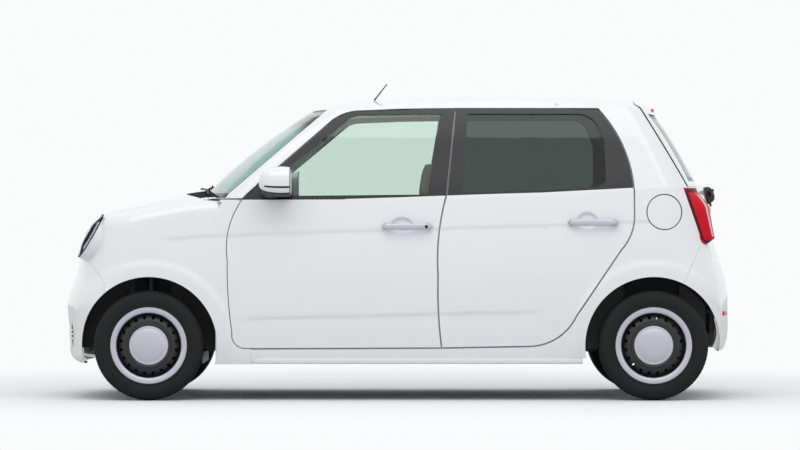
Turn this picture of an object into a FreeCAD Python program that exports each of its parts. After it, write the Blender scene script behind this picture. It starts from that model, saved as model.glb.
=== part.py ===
import FreeCAD, Part
import math
import os

# A small five-door hatchback: right-hand drive, front engine.
# Millimetres.  The nose faces -X, the car's left side faces -Y, +Z is up, and the
# origin is on the ground below the middle of the car.
V = FreeCAD.Vector

# ---------------------------------------------------------------- driving sizes
LENGTH = 3395.0
WIDTH = 1475.0
HEIGHT = 1545.0
WHEELBASE = 2520.0
FRONT_OVERHANG = 454.5
TRACK = 1290.0
TYRE_R = 275.0
TYRE_W = 155.0
RIM_R = 178.0
RIM_W = 114.0
RIM_LIP_R = 194.0
RIM_LIP_W = 6.0

PANEL_GAP = 8.0            # seam between a moving panel and its neighbour
FIXED_GAP = 0.8            # seam between two fixed panels
SKIN = 22.0                # thickness of a door's outer flange and of its frame
SEAT_DEPTH = 30.0          # depth of the rebate that a door's flange closes on
DOOR_DEPTH = 62.0          # whole thickness of a door below the glass
SIDE_DEPTH = 75.0          # whole thickness of the body side below the glass
PILLAR_DEPTH = 55.0        # whole thickness of the pillars and roof rails
DOOR_RETURN = 42.0         # the door's inner box lies this far inside its seam
APERTURE_RETURN = 34.0     # the body's door aperture lies this far inside the seam
BUMPER_THICK = 40.0
GLASS_THICK = 4.0
GLASS_SET = 8.0            # glass lies this far inside the outer form
ARCH_R = 342.0
LINER_GAP = 6.0
LINER_THICK = 5.0
CROWN_R = 4500.0           # crown of the bonnet across the car
ROOF_CROWN_R = 3200.0      # crown of the roof across the car
NOSE_BOW_R = 2000.0
SCREEN_BOW_R = 1700.0
SIDE_BOW_R = 40000.0
HULL_CORNER_R = 230.0
SHOULDER_R = 70.0
CABIN_CORNER_R = 130.0

NOSE_X = -LENGTH / 2
TAIL_X = LENGTH / 2
FRONT_AXLE_X = NOSE_X + FRONT_OVERHANG
REAR_AXLE_X = FRONT_AXLE_X + WHEELBASE
HALF_W = WIDTH / 2
WHEEL_Y = TRACK / 2
AXLE_Z = TYRE_R

# Level sections of the lower body:
# height, nose behind the bumper's tip, tail ahead of the bumper's tip, side inboard
HULL_SECTIONS = [
    (180, 52, 112, 36),
    (260, 11, 16, 22),
    (400, 3.5, 0.5, 9),
    (510, 6, 3, 2),
    (600, 38, 13, 0),
    (700, 60, 45, 0.5),
    (850, 92, 84, 5),
    (1000, 106, 110, 16),
    (1100, 116, 132, 30),
]
# Level sections of the cabin, in the same four columns
CABIN_SECTIONS = [
    (860, 560, 125, 27),
    (960, 644, 117, 22),
    (1150, 832, 190, 67),
    (1320, 1045, 287, 114),
    (1480, 1285, 405, 164),
    (1570, 1440, 486, 196),
]


# ---------------------------------------------------------------- plain geometry
def upright(a, b):
    return V(a, 0, b)


def flat(a, b):
    return V(a, b, 0)


def path(start, *steps, plane=upright):
    """Closed wire, in side view (x, z) or in plan (x, y).  A step of two numbers is a
    line to that point, a step of four is an arc through the first point to the second."""
    edges = []
    here = start
    for step in steps + (start,):
        there = step[-2:]
        if len(step) == 4:
            edges.append(Part.Arc(plane(*here), plane(*step[:2]), plane(*there)).toShape())
        elif math.dist(here, there) > 1e-6:
            edges.append(Part.makeLine(plane(*here), plane(*there)))
        here = there
    return Part.Wire(edges)


def grown(wire, by):
    """The wire moved outwards by this much, or inwards where it is negative."""
    return Part.Face(wire).makeOffset2D(by).OuterWire if by else wire


def prism(wire, y0, y1):
    face = Part.Face(wire)
    face.translate(V(0, y0, 0))
    return face.extrude(V(0, y1 - y0, 0))


def plan_prism(wire, z0, z1):
    face = Part.Face(wire)
    face.translate(V(0, 0, z0))
    return face.extrude(V(0, 0, z1 - z0))


def box(x0, x1, y0, y1, z0, z1):
    return Part.makeBox(x1 - x0, y1 - y0, z1 - z0, V(x0, y0, z0))


def soft_box(x0, x1, y0, y1, z0, z1, r):
    solid = box(x0, x1, y0, y1, z0, z1)
    return solid.makeFillet(r, solid.Edges)


def rod(start, end, r):
    a = V(*start)
    b = V(*end)
    return Part.makeCylinder(r, (b - a).Length, a, b - a)


def axle_disc(r, x, z, y0, y1):
    return Part.makeCylinder(r, y1 - y0, V(x, y0, z), V(0, 1, 0))


def mirrored(shape):
    return shape.mirror(V(0, 0, 0), V(0, 1, 0))


def joined(shapes):
    whole = shapes[0]
    for shape in shapes[1:]:
        whole = whole.fuse(shape)
    return whole.removeSplitter()


def largest(shape):
    return max(shape.Solids, key=lambda s: s.Volume)


# ---------------------------------------------------------------- outer form
def corner_arc(end_x, end_r, side_y, side_r, corner_r, way):
    """Corner tangent inside an end arc and a side arc: its two ends and its middle."""
    reach_end = end_r - corner_r
    reach_side = side_r - corner_r
    dx, dy = -end_x, side_y
    apart = math.hypot(dx, dy)
    along = (reach_end ** 2 - reach_side ** 2 + apart ** 2) / (2 * apart)
    across = math.sqrt(reach_end ** 2 - along ** 2)
    centres = []
    for hand in (1, -1):
        cx = end_x + along * dx / apart + hand * across * dy / apart
        cy = along * dy / apart - hand * across * dx / apart
        centres.append((cx, cy))
    cx, cy = max(centres, key=lambda c: (c[1] > 0) + (c[0] * way > 0))
    to_end = math.hypot(cx - end_x, cy)
    end = (end_x + (cx - end_x) * end_r / to_end, cy * end_r / to_end)
    to_side = math.hypot(cx, cy - side_y)
    side = (cx * side_r / to_side, side_y + (cy - side_y) * side_r / to_side)
    mx = (end[0] + side[0]) / 2 - cx
    my = (end[1] + side[1]) / 2 - cy
    m = math.hypot(mx, my)
    return end, (cx + mx * corner_r / m, cy + my * corner_r / m), side


def level_section(row, bow_r, corner_r, inset):
    """One closed section: bowed nose and tail, bowed sides, round corners."""
    z, nose_back, tail_back, side_in = row
    nose = NOSE_X + nose_back + inset
    tail = TAIL_X - tail_back - inset
    half = HALF_W - side_in - inset
    bow = bow_r - inset
    side_r = SIDE_BOW_R - inset
    corner = corner_r - inset
    n_end, n_mid, n_side = corner_arc(nose + bow, bow, half - side_r, side_r, corner, -1)
    t_end, t_mid, t_side = corner_arc(tail - bow, bow, half - side_r, side_r, corner, 1)

    def at(p, hand=1):
        return V(p[0], hand * p[1], z)

    arcs = [
        (at(n_end, -1), V(nose, 0, z), at(n_end)),
        (at(n_end), at(n_mid), at(n_side)),
        (at(n_side), V(0, half, z), at(t_side)),
        (at(t_side), at(t_mid), at(t_end)),
        (at(t_end), V(tail, 0, z), at(t_end, -1)),
        (at(t_end, -1), at(t_mid, -1), at(t_side, -1)),
        (at(t_side, -1), V(0, -half, z), at(n_side, -1)),
        (at(n_side, -1), at(n_mid, -1), at(n_end, -1)),
    ]
    return Part.Wire([Part.Arc(*arc).toShape() for arc in arcs])


def loft(rows, bow_r, corner_r, inset):
    wires = [level_section(row, bow_r, corner_r, inset) for row in rows]
    return Part.makeLoft(wires, True, False)


def crowned(wire, top_z, crown_r, half_angle):
    """The region under a side-view line, swept round an axis far below the car."""
    axis = V(0, 0, top_z - crown_r)
    face = Part.Face(wire)
    face.rotate(axis, V(1, 0, 0), -half_angle)
    return face.revolve(axis, V(1, 0, 0), 2 * half_angle)


# Side-view lines of the middle of the car.
BELT_FRONT_Z = 1003.0
BELT_REAR_Z = 1078.0
NOSE_TOP = (NOSE_X + 99, 833.0)
BONNET_FRONT = (NOSE_X + 200, 943.0)
BONNET_MIDDLE = (NOSE_X + 385, 993.0)
COWL_TOP = (NOSE_X + 745, 1056.0)
BELT_FRONT_X = COWL_TOP[0] + 60


def bonnet_line(inset):
    d = inset
    return path(
        (NOSE_X + 57 + d, 640),
        (NOSE_TOP[0] + d, NOSE_TOP[1] - 0.2 * d, BONNET_FRONT[0] + 0.5 * d, BONNET_FRONT[1] - d),
        (BONNET_MIDDLE[0], BONNET_MIDDLE[1] - d, COWL_TOP[0], COWL_TOP[1] - d),
        (BELT_FRONT_X, COWL_TOP[1] - d),
        (BELT_FRONT_X, 100),
        (NOSE_X - 100, 100),
        (NOSE_X - 100, 640),
    )


def belt_line(inset):
    return path(
        (BELT_FRONT_X - 1, BELT_FRONT_Z - inset),
        (400, 1018 - inset, TAIL_X + 50, BELT_REAR_Z + 12 - inset),
        (TAIL_X + 50, 100),
        (BELT_FRONT_X - 1, 100),
    )


def roof_line(inset):
    top = HEIGHT - inset
    return path(
        (-520, top - 125),
        (-330, top - 50, -120, top - 21),
        (524, top, 1190, top - 29),
        (1262, top - 45, 1330, top - 80),
        (TAIL_X + 50, top - 500),
        (TAIL_X + 50, 800),
        (NOSE_X + 200, 800),
        (NOSE_X + 200, 900),
    )


def is_shoulder(edge):
    middle = edge.valueAt((edge.FirstParameter + edge.LastParameter) / 2)
    return abs(middle.y) > 400 and middle.z > 800 and edge.BoundBox.XLength > 50


def lower_form(inset):
    hull = loft(HULL_SECTIONS, NOSE_BOW_R, HULL_CORNER_R, inset)
    nose = hull.common(crowned(bonnet_line(inset), 1000, CROWN_R, 12))
    if inset < SHOULDER_R / 2:
        shoulders = [edge for edge in nose.Edges if is_shoulder(edge)]
        nose = nose.makeFillet(SHOULDER_R - inset, shoulders)
    rest = hull.common(prism(belt_line(inset), -WIDTH, WIDTH))
    return nose.fuse(rest)


def upper_form(inset):
    cabin = loft(CABIN_SECTIONS, SCREEN_BOW_R, CABIN_CORNER_R, inset)
    return cabin.common(crowned(roof_line(inset), HEIGHT, ROOF_CROWN_R, 25))


def form(lower_inset, upper_inset):
    return lower_form(lower_inset).fuse(upper_form(upper_inset))


# ---------------------------------------------------------------- seams
BELT_Z = 1004.0
DOOR_FRONT_X = -852.0
DOOR_SPLIT_X = 201.0
REAR_DOOR_REAR_X = 1181.0
DOOR_BOTTOM_Z = 262.0
DOOR_TOP_Z = 1460.0
SILL_SEAM_X = -733.0
TAILGATE_FOOT_Z = 700.0

FRONT_DOOR_SEAM = path(
    (DOOR_FRONT_X + 74, BELT_Z),
    (DOOR_FRONT_X + 16, 890, DOOR_FRONT_X, 700),
    (DOOR_FRONT_X + 4, 520, DOOR_FRONT_X + 23, 338),
    (DOOR_FRONT_X + 40, 280, DOOR_FRONT_X + 89, DOOR_BOTTOM_Z - 4),
    (DOOR_SPLIT_X + 18, DOOR_BOTTOM_Z),
    (DOOR_SPLIT_X + 2, 430, DOOR_SPLIT_X, 620),
    (DOOR_SPLIT_X + 9, 870, DOOR_SPLIT_X + 45, 1036),
    (DOOR_SPLIT_X + 89, DOOR_TOP_Z),
    (9, DOOR_TOP_Z - 4),
    (-208, DOOR_TOP_Z - 13),
    (-277, 1430, -332, 1398),
    (-750, 1032),
)
REAR_DOOR_SEAM = path(
    (DOOR_SPLIT_X + 18, DOOR_BOTTOM_Z),
    (DOOR_SPLIT_X + 2, 430, DOOR_SPLIT_X, 620),
    (DOOR_SPLIT_X + 9, 870, DOOR_SPLIT_X + 45, 1036),
    (DOOR_SPLIT_X + 89, DOOR_TOP_Z),
    (REAR_DOOR_REAR_X - 176, DOOR_TOP_Z),
    (REAR_DOOR_REAR_X - 61, 1290, REAR_DOOR_REAR_X, 1050),
    (REAR_DOOR_REAR_X, 930),
    (REAR_DOOR_REAR_X - 13, 840, REAR_DOOR_REAR_X - 64, 754),
    (REAR_DOOR_REAR_X - 291, 420),
    (REAR_DOOR_REAR_X - 381, 315, REAR_DOOR_REAR_X - 527, DOOR_BOTTOM_Z + 8),
)
FRONT_WINDOW = path(
    (-683, BELT_Z + 16),
    (-697, BELT_Z + 36),
    (-262, 1400),
    (-225, 1424, -180, 1430),
    (216, 1434),
    (DOOR_SPLIT_X - 51, 1040),
    (DOOR_SPLIT_X - 54, BELT_Z + 24),
)
REAR_WINDOW = path(
    (DOOR_SPLIT_X + 122, BELT_Z + 32),
    (DOOR_SPLIT_X + 149, 1434),
    (900, 1434),
    (970, 1412, 1008, 1360),
    (1036, 1290),
    (1040, 1090),
    (1000, 1068),
    (700, BELT_Z + 44),
)

EMPTY = 1200.0             # far enough outside the car in any direction

WING_FRONT = path(
    (NOSE_X + 152, 691),
    (NOSE_X + 232, 590),
    (NOSE_X + 232, 150),
    (SILL_SEAM_X, 150),
    (SILL_SEAM_X, DOOR_BOTTOM_Z - 4),
    (DOOR_FRONT_X + 89, DOOR_BOTTOM_Z - 4),
    (DOOR_FRONT_X + 40, 280, DOOR_FRONT_X + 23, 338),
    (DOOR_FRONT_X + 4, 520, DOOR_FRONT_X, 700),
    (DOOR_FRONT_X + 16, 890, DOOR_FRONT_X + 74, BELT_Z),
    (DOOR_FRONT_X + 74, EMPTY),
    (NOSE_X - 50, EMPTY),
    (NOSE_X - 50, 691),
)
FRONT_BUMPER_SIDE = path(
    (NOSE_X - 50, 691),
    (NOSE_X + 152, 691),
    (NOSE_X + 232, 590),
    (NOSE_X + 232, 100),
    (NOSE_X - 50, 100),
)
REAR_BUMPER_SIDE = path(
    (TAIL_X + 50, 766),
    (TAIL_X - 185, 766),
    (TAIL_X - 267, 595),
    (TAIL_X - 267, 100),
    (TAIL_X + 50, 100),
)
TAIL_LAMP_SIDE = path(
    (TAIL_X - 268, 1062),
    (TAIL_X - 183, 826),
    (TAIL_X - 165, 782, TAIL_X - 130, 774),
    (TAIL_X + 50, 774),
    (TAIL_X + 50, 1062),
)
SCREEN_SIDE = path(
    (-845, 1033),
    (-382, 1432),
    (-360, 1458),
    (-700, 1458),
    (NOSE_X, 1200),
    (NOSE_X, 1012),
    (-862, 1012),
)
TAILGATE_SIDE = path(
    (1190, EMPTY + 500),
    (1198, 1485),
    (1223, 1464),
    (1462, 1062),
    (1462, TAILGATE_FOOT_Z),
    (TAIL_X + 60, TAILGATE_FOOT_Z),
    (TAIL_X + 60, EMPTY + 500),
)
TAILGATE_HALF_W = 530.0
ROOF_HALF_W = 520.0


# ---------------------------------------------------------------- panels
FORMS = {}


def inside(lower_inset, upper_inset=None):
    """The body's form, this far inside its outer skin."""
    key = (lower_inset, lower_inset if upper_inset is None else upper_inset)
    if key not in FORMS:
        FORMS[key] = form(*key)
    return FORMS[key]


def near_side(wire, inner_y):
    return prism(wire, -HALF_W - 40, -inner_y)


def across(wire):
    return prism(wire, -HALF_W - 40, HALF_W + 40)


def cut_all(shape, tools):
    for tool in tools:
        shape = shape.cut(tool)
    return shape


def skin_y(x, z, inset):
    """Where the left side's surface lies at this place, this far inside the skin."""
    probe = Part.makeLine(V(x, -HALF_W - 40, z), V(x, 0, z))
    return inside(inset).common(probe).BoundBox.YMin


def skin_top(x, y, inset):
    """How high the surface lies at this place, this far inside the skin."""
    probe = Part.makeLine(V(x, y, AXLE_Z), V(x, y, HEIGHT + 50))
    return inside(inset).common(probe).BoundBox.ZMax


nodes = {}


def add(name, shape):
    nodes[name] = shape


def add_pair(name, left):
    add(name + "_left", left)
    add(name + "_right", mirrored(left))


OUTER = inside(0)
UPPER = upper_form(0)
LOWER = lower_form(0)
HALF_GAP = PANEL_GAP / 2
FIXED_HALF = FIXED_GAP / 2

# ---------------------------------------------------------------- doors
# seam, window, where the inner box ends below the glass, latch place (x, z)
DOORS = {
    "front_door": (FRONT_DOOR_SEAM, FRONT_WINDOW, BELT_Z - 14, (DOOR_SPLIT_X - 19, 700)),
    "rear_door": (REAR_DOOR_SEAM, REAR_WINDOW, BELT_Z - 4, (REAR_DOOR_REAR_X - 21, 960)),
}
LATCH_HALF_X = 10.0
LATCH_HALF_Z = 14.0
CONTACT_GAP = 0.4
HANDLE_Z = 868.0
HANDLE_LENGTH = 250.0
HANDLE_R = 11.0
HANDLE_STANDOFF = 18.0
# handle's middle along the car and its height above the front one
HANDLES = {"front_door": (46.0, 0.0), "rear_door": (974.0, 20.0)}


def door(seam, window, box_top):
    outline = near_side(grown(seam, -HALF_GAP), 450)
    box_zone = near_side(grown(seam, -DOOR_RETURN), 560)
    box_zone = box_zone.common(box(-LENGTH, LENGTH, -WIDTH, WIDTH, 0, box_top))
    hollow = inside(SKIN).common(outline).cut(box_zone)
    whole = OUTER.common(outline).cut(hollow).cut(inside(DOOR_DEPTH))
    return largest(whole.cut(near_side(window, 450)))


def handle(name):
    middle, rise = HANDLES[name]
    z = HANDLE_Z + rise
    y = skin_y(middle, z, SKIN) - SKIN
    bar_y = y - HANDLE_STANDOFF
    half = HANDLE_LENGTH / 2
    bar = rod((middle - half, bar_y, z - 3), (middle + half, bar_y, z + 3), HANDLE_R)
    posts = [rod((x, bar_y, z), (x, y + 8, z), 7) for x in (middle - half + 14, middle + half - 14)]
    return bar.fuse(posts[0]).fuse(posts[1])


def pane(window):
    sheet = upper_form(GLASS_SET).common(near_side(window, 450))
    return largest(sheet.cut(upper_form(GLASS_SET + GLASS_THICK)))


for name, (seam, window, box_top, latch) in DOORS.items():
    add_pair(name, door(seam, window, box_top).fuse(handle(name)))
    add_pair(name + "_glass", pane(window))

# ---------------------------------------------------------------- mirrors
MIRROR_X = -607.0
MIRROR_Z = 1085.0
MIRROR_R = 75.0
MIRROR_Y = -HALF_W - 62.0


def mirror_housing():
    dome = Part.makeSphere(MIRROR_R)
    squash = FreeCAD.Matrix()
    squash.scale(1.0, 1.15, 0.92)
    dome = dome.transformGeometry(squash)
    dome.translate(V(MIRROR_X, MIRROR_Y, MIRROR_Z))
    shell = dome.common(box(MIRROR_X - 200, MIRROR_X + 30, MIRROR_Y - 200, MIRROR_Y + 200, 0, HEIGHT))
    foot = rod((MIRROR_X - 30, MIRROR_Y + 40, MIRROR_Z - 45), (MIRROR_X - 80, -690, BELT_Z + 12), 16)
    return joined([shell, foot]).cut(inside(0))


add_pair("mirror", mirror_housing())

# ---------------------------------------------------------------- body sides
ARCH_FRONT = axle_disc(ARCH_R, FRONT_AXLE_X, AXLE_Z, -WIDTH, WIDTH)
ARCH_REAR = axle_disc(ARCH_R, REAR_AXLE_X, AXLE_Z, -WIDTH, WIDTH)
SCREEN_OPENING = across(grown(SCREEN_SIDE, FIXED_HALF))
TAILGATE_UPPER = across(grown(TAILGATE_SIDE, HALF_GAP))
TAILGATE_ZONE = TAILGATE_UPPER.common(
    box(0, LENGTH, -TAILGATE_HALF_W - HALF_GAP, TAILGATE_HALF_W + HALF_GAP, 0, EMPTY + 500)
)
REAR_CORNER = box(0, LENGTH, -WIDTH, -TAILGATE_HALF_W - FIXED_GAP, 0, EMPTY)
SILL_FOOT_Z = (196.0, 214.0)
PILLAR_FOOT_X = -910.0
PILLAR_FOOT_Y = 690.0
FUEL_LID_X = REAR_AXLE_X + 54.0
FUEL_LID_Z = 941.0
FUEL_LID_R = 85.0
FUEL_GAP = 6.0


def tail_zone():
    above_belt = box(0, LENGTH, -WIDTH, WIDTH, BELT_REAR_Z - 12, EMPTY + 500)
    return TAILGATE_UPPER.common(above_belt).fuse(TAILGATE_ZONE)


def latch_y(x, z):
    """The latch pad's outer face: just clear of the panel's inner face at every corner."""
    corners = [(x + i * LATCH_HALF_X, z + k * LATCH_HALF_Z) for i in (-1, 1) for k in (-1, 1)]
    return max(skin_y(cx, cz, SKIN) for cx, cz in corners) + CONTACT_GAP


def latch_pad(x, z):
    y = latch_y(x, z)
    return box(x - LATCH_HALF_X, x + LATCH_HALF_X, y, y + 20, z - LATCH_HALF_Z, z + LATCH_HALF_Z)


def fuel_pocket(side):
    """The left side with the round recess that the fuel lid closes."""
    pocket = axle_disc(FUEL_LID_R + FUEL_GAP, FUEL_LID_X, FUEL_LID_Z, -WIDTH, -TAILGATE_HALF_W)
    side = side.cut(pocket.cut(inside(SEAT_DEPTH)))
    return side.fuse(latch_pad(FUEL_LID_X + 60, FUEL_LID_Z))


def body_side():
    whole = OUTER.common(box(PILLAR_FOOT_X, TAIL_X, -WIDTH, -ROOF_HALF_W - FIXED_HALF, 100, HEIGHT))
    whole = whole.cut(inside(SIDE_DEPTH, PILLAR_DEPTH))
    wing = near_side(grown(WING_FRONT, FIXED_HALF), PILLAR_FOOT_Y).common(LOWER).cut(inside(SEAT_DEPTH))
    rebate_of = [near_side(grown(seam, HALF_GAP), 400) for seam, _, _, _ in DOORS.values()]
    rebates = [tool.cut(inside(SEAT_DEPTH)) for tool in rebate_of]
    openings = [near_side(grown(seam, -APERTURE_RETURN), 400) for seam, _, _, _ in DOORS.values()]
    bumper = across(grown(REAR_BUMPER_SIDE, FIXED_HALF))
    lamp = across(grown(TAIL_LAMP_SIDE, FIXED_HALF)).common(REAR_CORNER)
    sill_z, tail_z = SILL_FOOT_Z
    foot = [(SILL_SEAM_X, sill_z), (REAR_AXLE_X, tail_z), (2000, tail_z)]
    lower_edge = path((-2000, 0), (-2000, sill_z), *foot, (2000, 0))
    tools = [wing, SCREEN_OPENING, tail_zone(), bumper, lamp, ARCH_REAR, across(lower_edge)]
    whole = cut_all(whole, tools + rebates + openings)
    return joined([largest(whole)] + [latch_pad(*place) for _, _, _, place in DOORS.values()])


add_pair("body_side", largest(body_side()))
add("body_side_left", largest(fuel_pocket(nodes["body_side_left"])))


def fuel_lid():
    lid = OUTER.common(axle_disc(FUEL_LID_R, FUEL_LID_X, FUEL_LID_Z, -WIDTH, 0))
    return largest(lid.cut(inside(SKIN)).common(box(0, LENGTH, -WIDTH, -500, 0, EMPTY)))


add("fuel_lid", fuel_lid())

# ---------------------------------------------------------------- bonnet and wings
BONNET_PLAN = path(
    (NOSE_X + 146, -370),
    (NOSE_X + 104, 0, NOSE_X + 146, 370),
    (NOSE_X + 190, 430, NOSE_X + 260, 470),
    (NOSE_X + 430, 560, NOSE_X + 712, 612),
    (NOSE_X + 606, 0, NOSE_X + 712, -612),
    (NOSE_X + 430, -560, NOSE_X + 260, -470),
    (NOSE_X + 190, -430, NOSE_X + 146, -370),
    plane=flat,
)
# region behind the bonnet's rear edge and inboard of the wings
COWL_PLAN = path(
    (NOSE_X + 712, -612),
    (NOSE_X + 606, 0, NOSE_X + 712, 612),
    (NOSE_X + 940, 612),
    (NOSE_X + 940, -612),
    plane=flat,
)
BONNET_ZONE = plan_prism(grown(BONNET_PLAN, HALF_GAP), 780, EMPTY)
# the bonnet's nose first swings forward as it opens, so the seam ahead of it is wider
BONNET_SWING = 5.0
BONNET_SWEEP = BONNET_ZONE.translated(V(-BONNET_SWING, 0, 0))
COWL_ZONE = plan_prism(grown(COWL_PLAN, FIXED_HALF), 900, EMPTY)
LAMP_X = NOSE_X + 146.0
LAMP_Y = 540.0
LAMP_Z = 820.0
LAMP_R = 118.0
LAMP_DEPTH = 70.0
LAMP_RAKE = 27.0
LAMP_TOE = 22.0
LAMP_GAP = 0.6
LAMP_DOME_R = 260.0
NOSE_PANEL_HALF_W = 392.0
NOSE_PANEL_TOP = 860.0
LAMP_SHELF_Z = 760.0       # the nose panel reaches under the lamps up to here


def lamp_axis():
    rake = math.radians(LAMP_RAKE)
    toe = math.radians(LAMP_TOE)
    return V(-math.cos(rake) * math.cos(toe), -math.cos(rake) * math.sin(toe), math.sin(rake))


def lamp_body(gap, back, front):
    """A round lamp's barrel, from this far behind its rim to this far ahead."""
    axis = lamp_axis()
    start = V(LAMP_X, -LAMP_Y, LAMP_Z) - axis * back
    return Part.makeCylinder(LAMP_R + gap, back + front, start, axis)


def headlamp():
    axis = lamp_axis()
    centre = V(LAMP_X, -LAMP_Y, LAMP_Z) - axis * (LAMP_DOME_R - 30)
    return lamp_body(0, LAMP_DEPTH, 60).common(Part.makeSphere(LAMP_DOME_R, centre))


def wing():
    zone = LOWER.common(near_side(grown(WING_FRONT, -FIXED_HALF), 300))
    nose_panel = box(NOSE_X - 50, NOSE_X + 260, -NOSE_PANEL_HALF_W, 0, 600, EMPTY)
    lamp_shelf = box(NOSE_X - 50, NOSE_X + 260, -LAMP_Y, 0, 600, LAMP_SHELF_Z)
    pillar_foot = box(PILLAR_FOOT_X - FIXED_GAP, 0, -PILLAR_FOOT_Y - FIXED_GAP, 0, 0, EMPTY)
    tools = [BONNET_ZONE, BONNET_SWEEP, COWL_ZONE, nose_panel, lamp_shelf, pillar_foot, ARCH_FRONT]
    tools += [lamp_body(LAMP_GAP, 130, 200), lower_form(SKIN)]
    return largest(cut_all(zone, tools))


def bonnet():
    zone = OUTER.common(plan_prism(grown(BONNET_PLAN, -HALF_GAP), 790, EMPTY))
    tools = [lamp_body(PANEL_GAP, 130, 200), inside(SKIN)]
    tools.append(mirrored(tools[0]))
    return largest(cut_all(zone, tools))


add_pair("wing", wing())
add("bonnet", bonnet())
add("headlamps", Part.makeCompound([headlamp(), mirrored(headlamp())]))

# ---------------------------------------------------------------- bumpers and grille
GRILLE_HALF_W = 290.0
GRILLE_Z = (722.0, 800.0)
INTAKE_HALF_W = 400.0
INTAKE_Z = (262.0, 372.0)
GRILLE_CORNER_R = 34.0
GRILLE_RIM = 10.0
PLATE_HOLE_R = 3.5
PLATE_HOLE_PITCH = 210.0
FRONT_PLATE_Z = 545.0
REAR_PLATE_Z = 850.0


def slot(half_w, z_range, gap, x0, x1):
    """A rounded slot through the nose, seen from the front."""
    z0, z1 = z_range[0] - gap, z_range[1] + gap
    blank = box(x0, x1, -half_w - gap, half_w + gap, z0, z1)
    corners = [edge for edge in blank.Edges if edge.BoundBox.XLength > 1]
    return blank.makeFillet(GRILLE_CORNER_R + gap, corners)


def plate_holes(x, z):
    """The two screw holes of a number plate, through the panel at x."""
    half = PLATE_HOLE_PITCH / 2
    return [rod((x - 100, y, z), (x + 100, y, z), PLATE_HOLE_R) for y in (-half, half)]


def front_bumper():
    low = OUTER.common(across(grown(FRONT_BUMPER_SIDE, -FIXED_HALF)))
    half = NOSE_PANEL_HALF_W - FIXED_GAP
    face = box(NOSE_X - 50, NOSE_X + 260, -half, half, 600, NOSE_PANEL_TOP)
    half, shelf_top = LAMP_Y - FIXED_GAP, LAMP_SHELF_Z - FIXED_GAP
    face = face.fuse(box(NOSE_X - 50, NOSE_X + 260, -half, half, 600, shelf_top))
    face = OUTER.common(face).cut(BONNET_ZONE).cut(BONNET_SWEEP)
    whole = low.fuse(face).cut(inside(BUMPER_THICK))
    lamp = lamp_body(LAMP_GAP, 130, 200)
    tools = [lamp, mirrored(lamp), ARCH_FRONT]
    tools += [slot(half, span, 0, NOSE_X - 20, NOSE_X + 260) for half, span in GRILLES]
    return largest(cut_all(whole, tools + plate_holes(NOSE_X, FRONT_PLATE_Z)))


GRILLES = [(GRILLE_HALF_W, GRILLE_Z), (INTAKE_HALF_W, INTAKE_Z)]
GRILLE_BARS = {GRILLES[0]: 2, GRILLES[1]: 4}
BAR_THICK = 7.0


def grille():
    """A rim that lines each slot, with bars across it."""
    pieces = []
    for half, span in GRILLES:
        ring = slot(half, span, -0.3, NOSE_X - 20, NOSE_X + 260)
        hole = slot(half, span, -GRILLE_RIM, NOSE_X - 30, NOSE_X + 270)
        body = ring.cut(hole)
        count = GRILLE_BARS[(half, span)]
        pitch = (span[1] - span[0]) / (count + 1)
        for index in range(count):
            z = span[0] + (index + 1) * pitch
            bar = box(NOSE_X - 20, NOSE_X + 260, -half + 4, half - 4, z - BAR_THICK / 2, z + BAR_THICK / 2)
            body = body.fuse(bar)
        pieces.append(largest(body.common(inside(8)).cut(inside(BUMPER_THICK))))
    return Part.makeCompound(pieces)


def rear_bumper():
    whole = OUTER.common(across(grown(REAR_BUMPER_SIDE, -FIXED_HALF)))
    lamp = across(grown(TAIL_LAMP_SIDE, FIXED_HALF)).common(REAR_CORNER)
    foot = [(REAR_AXLE_X, 216), (TAIL_X - 30, 243), (TAIL_X + 50, 243)]
    lower_edge = across(path((0, 0), (0, 216), *foot, (TAIL_X + 50, 0)))
    tools = [ARCH_REAR, TAILGATE_ZONE, lamp, mirrored(lamp), lower_edge, inside(BUMPER_THICK)]
    return largest(cut_all(whole, tools))


def tail_lamp():
    zone = OUTER.common(across(grown(TAIL_LAMP_SIDE, -FIXED_HALF))).common(REAR_CORNER)
    return largest(zone.cut(TAILGATE_ZONE).cut(inside(BUMPER_THICK)))


add("front_bumper", front_bumper())
add("grille", grille())
add("rear_bumper", rear_bumper())
add("tail_lamps", Part.makeCompound([tail_lamp(), mirrored(tail_lamp())]))

# ---------------------------------------------------------------- roof, screen, cowl


def roof_panel():
    half = ROOF_HALF_W - FIXED_HALF
    zone = UPPER.common(box(-600, 1260, -half, half, 1380, HEIGHT + 5))
    return largest(zone.cut(SCREEN_OPENING).cut(TAILGATE_UPPER).cut(upper_form(SKIN + 6)))


def windscreen():
    sheet = upper_form(2).common(across(SCREEN_SIDE))
    return largest(sheet.cut(upper_form(2 + GLASS_THICK + 1)))


def cowl():
    top = LOWER.common(plan_prism(grown(COWL_PLAN, -FIXED_HALF), 900, EMPTY))
    top = top.cut(BONNET_ZONE).cut(lower_form(SKIN)).cut(upper_form(-CONTACT_GAP))
    return largest(top.cut(nodes["body_side_left"]).cut(nodes["body_side_right"]))


add("roof_panel", roof_panel())
add("windscreen", windscreen())
add("cowl_panel", cowl())

# ---------------------------------------------------------------- tailgate
TAILGATE_WINDOW = path(
    (1254, 1436),
    (1452, 1098),
    (TAIL_X, 1098),
    (TAIL_X, 1436),
)


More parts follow.
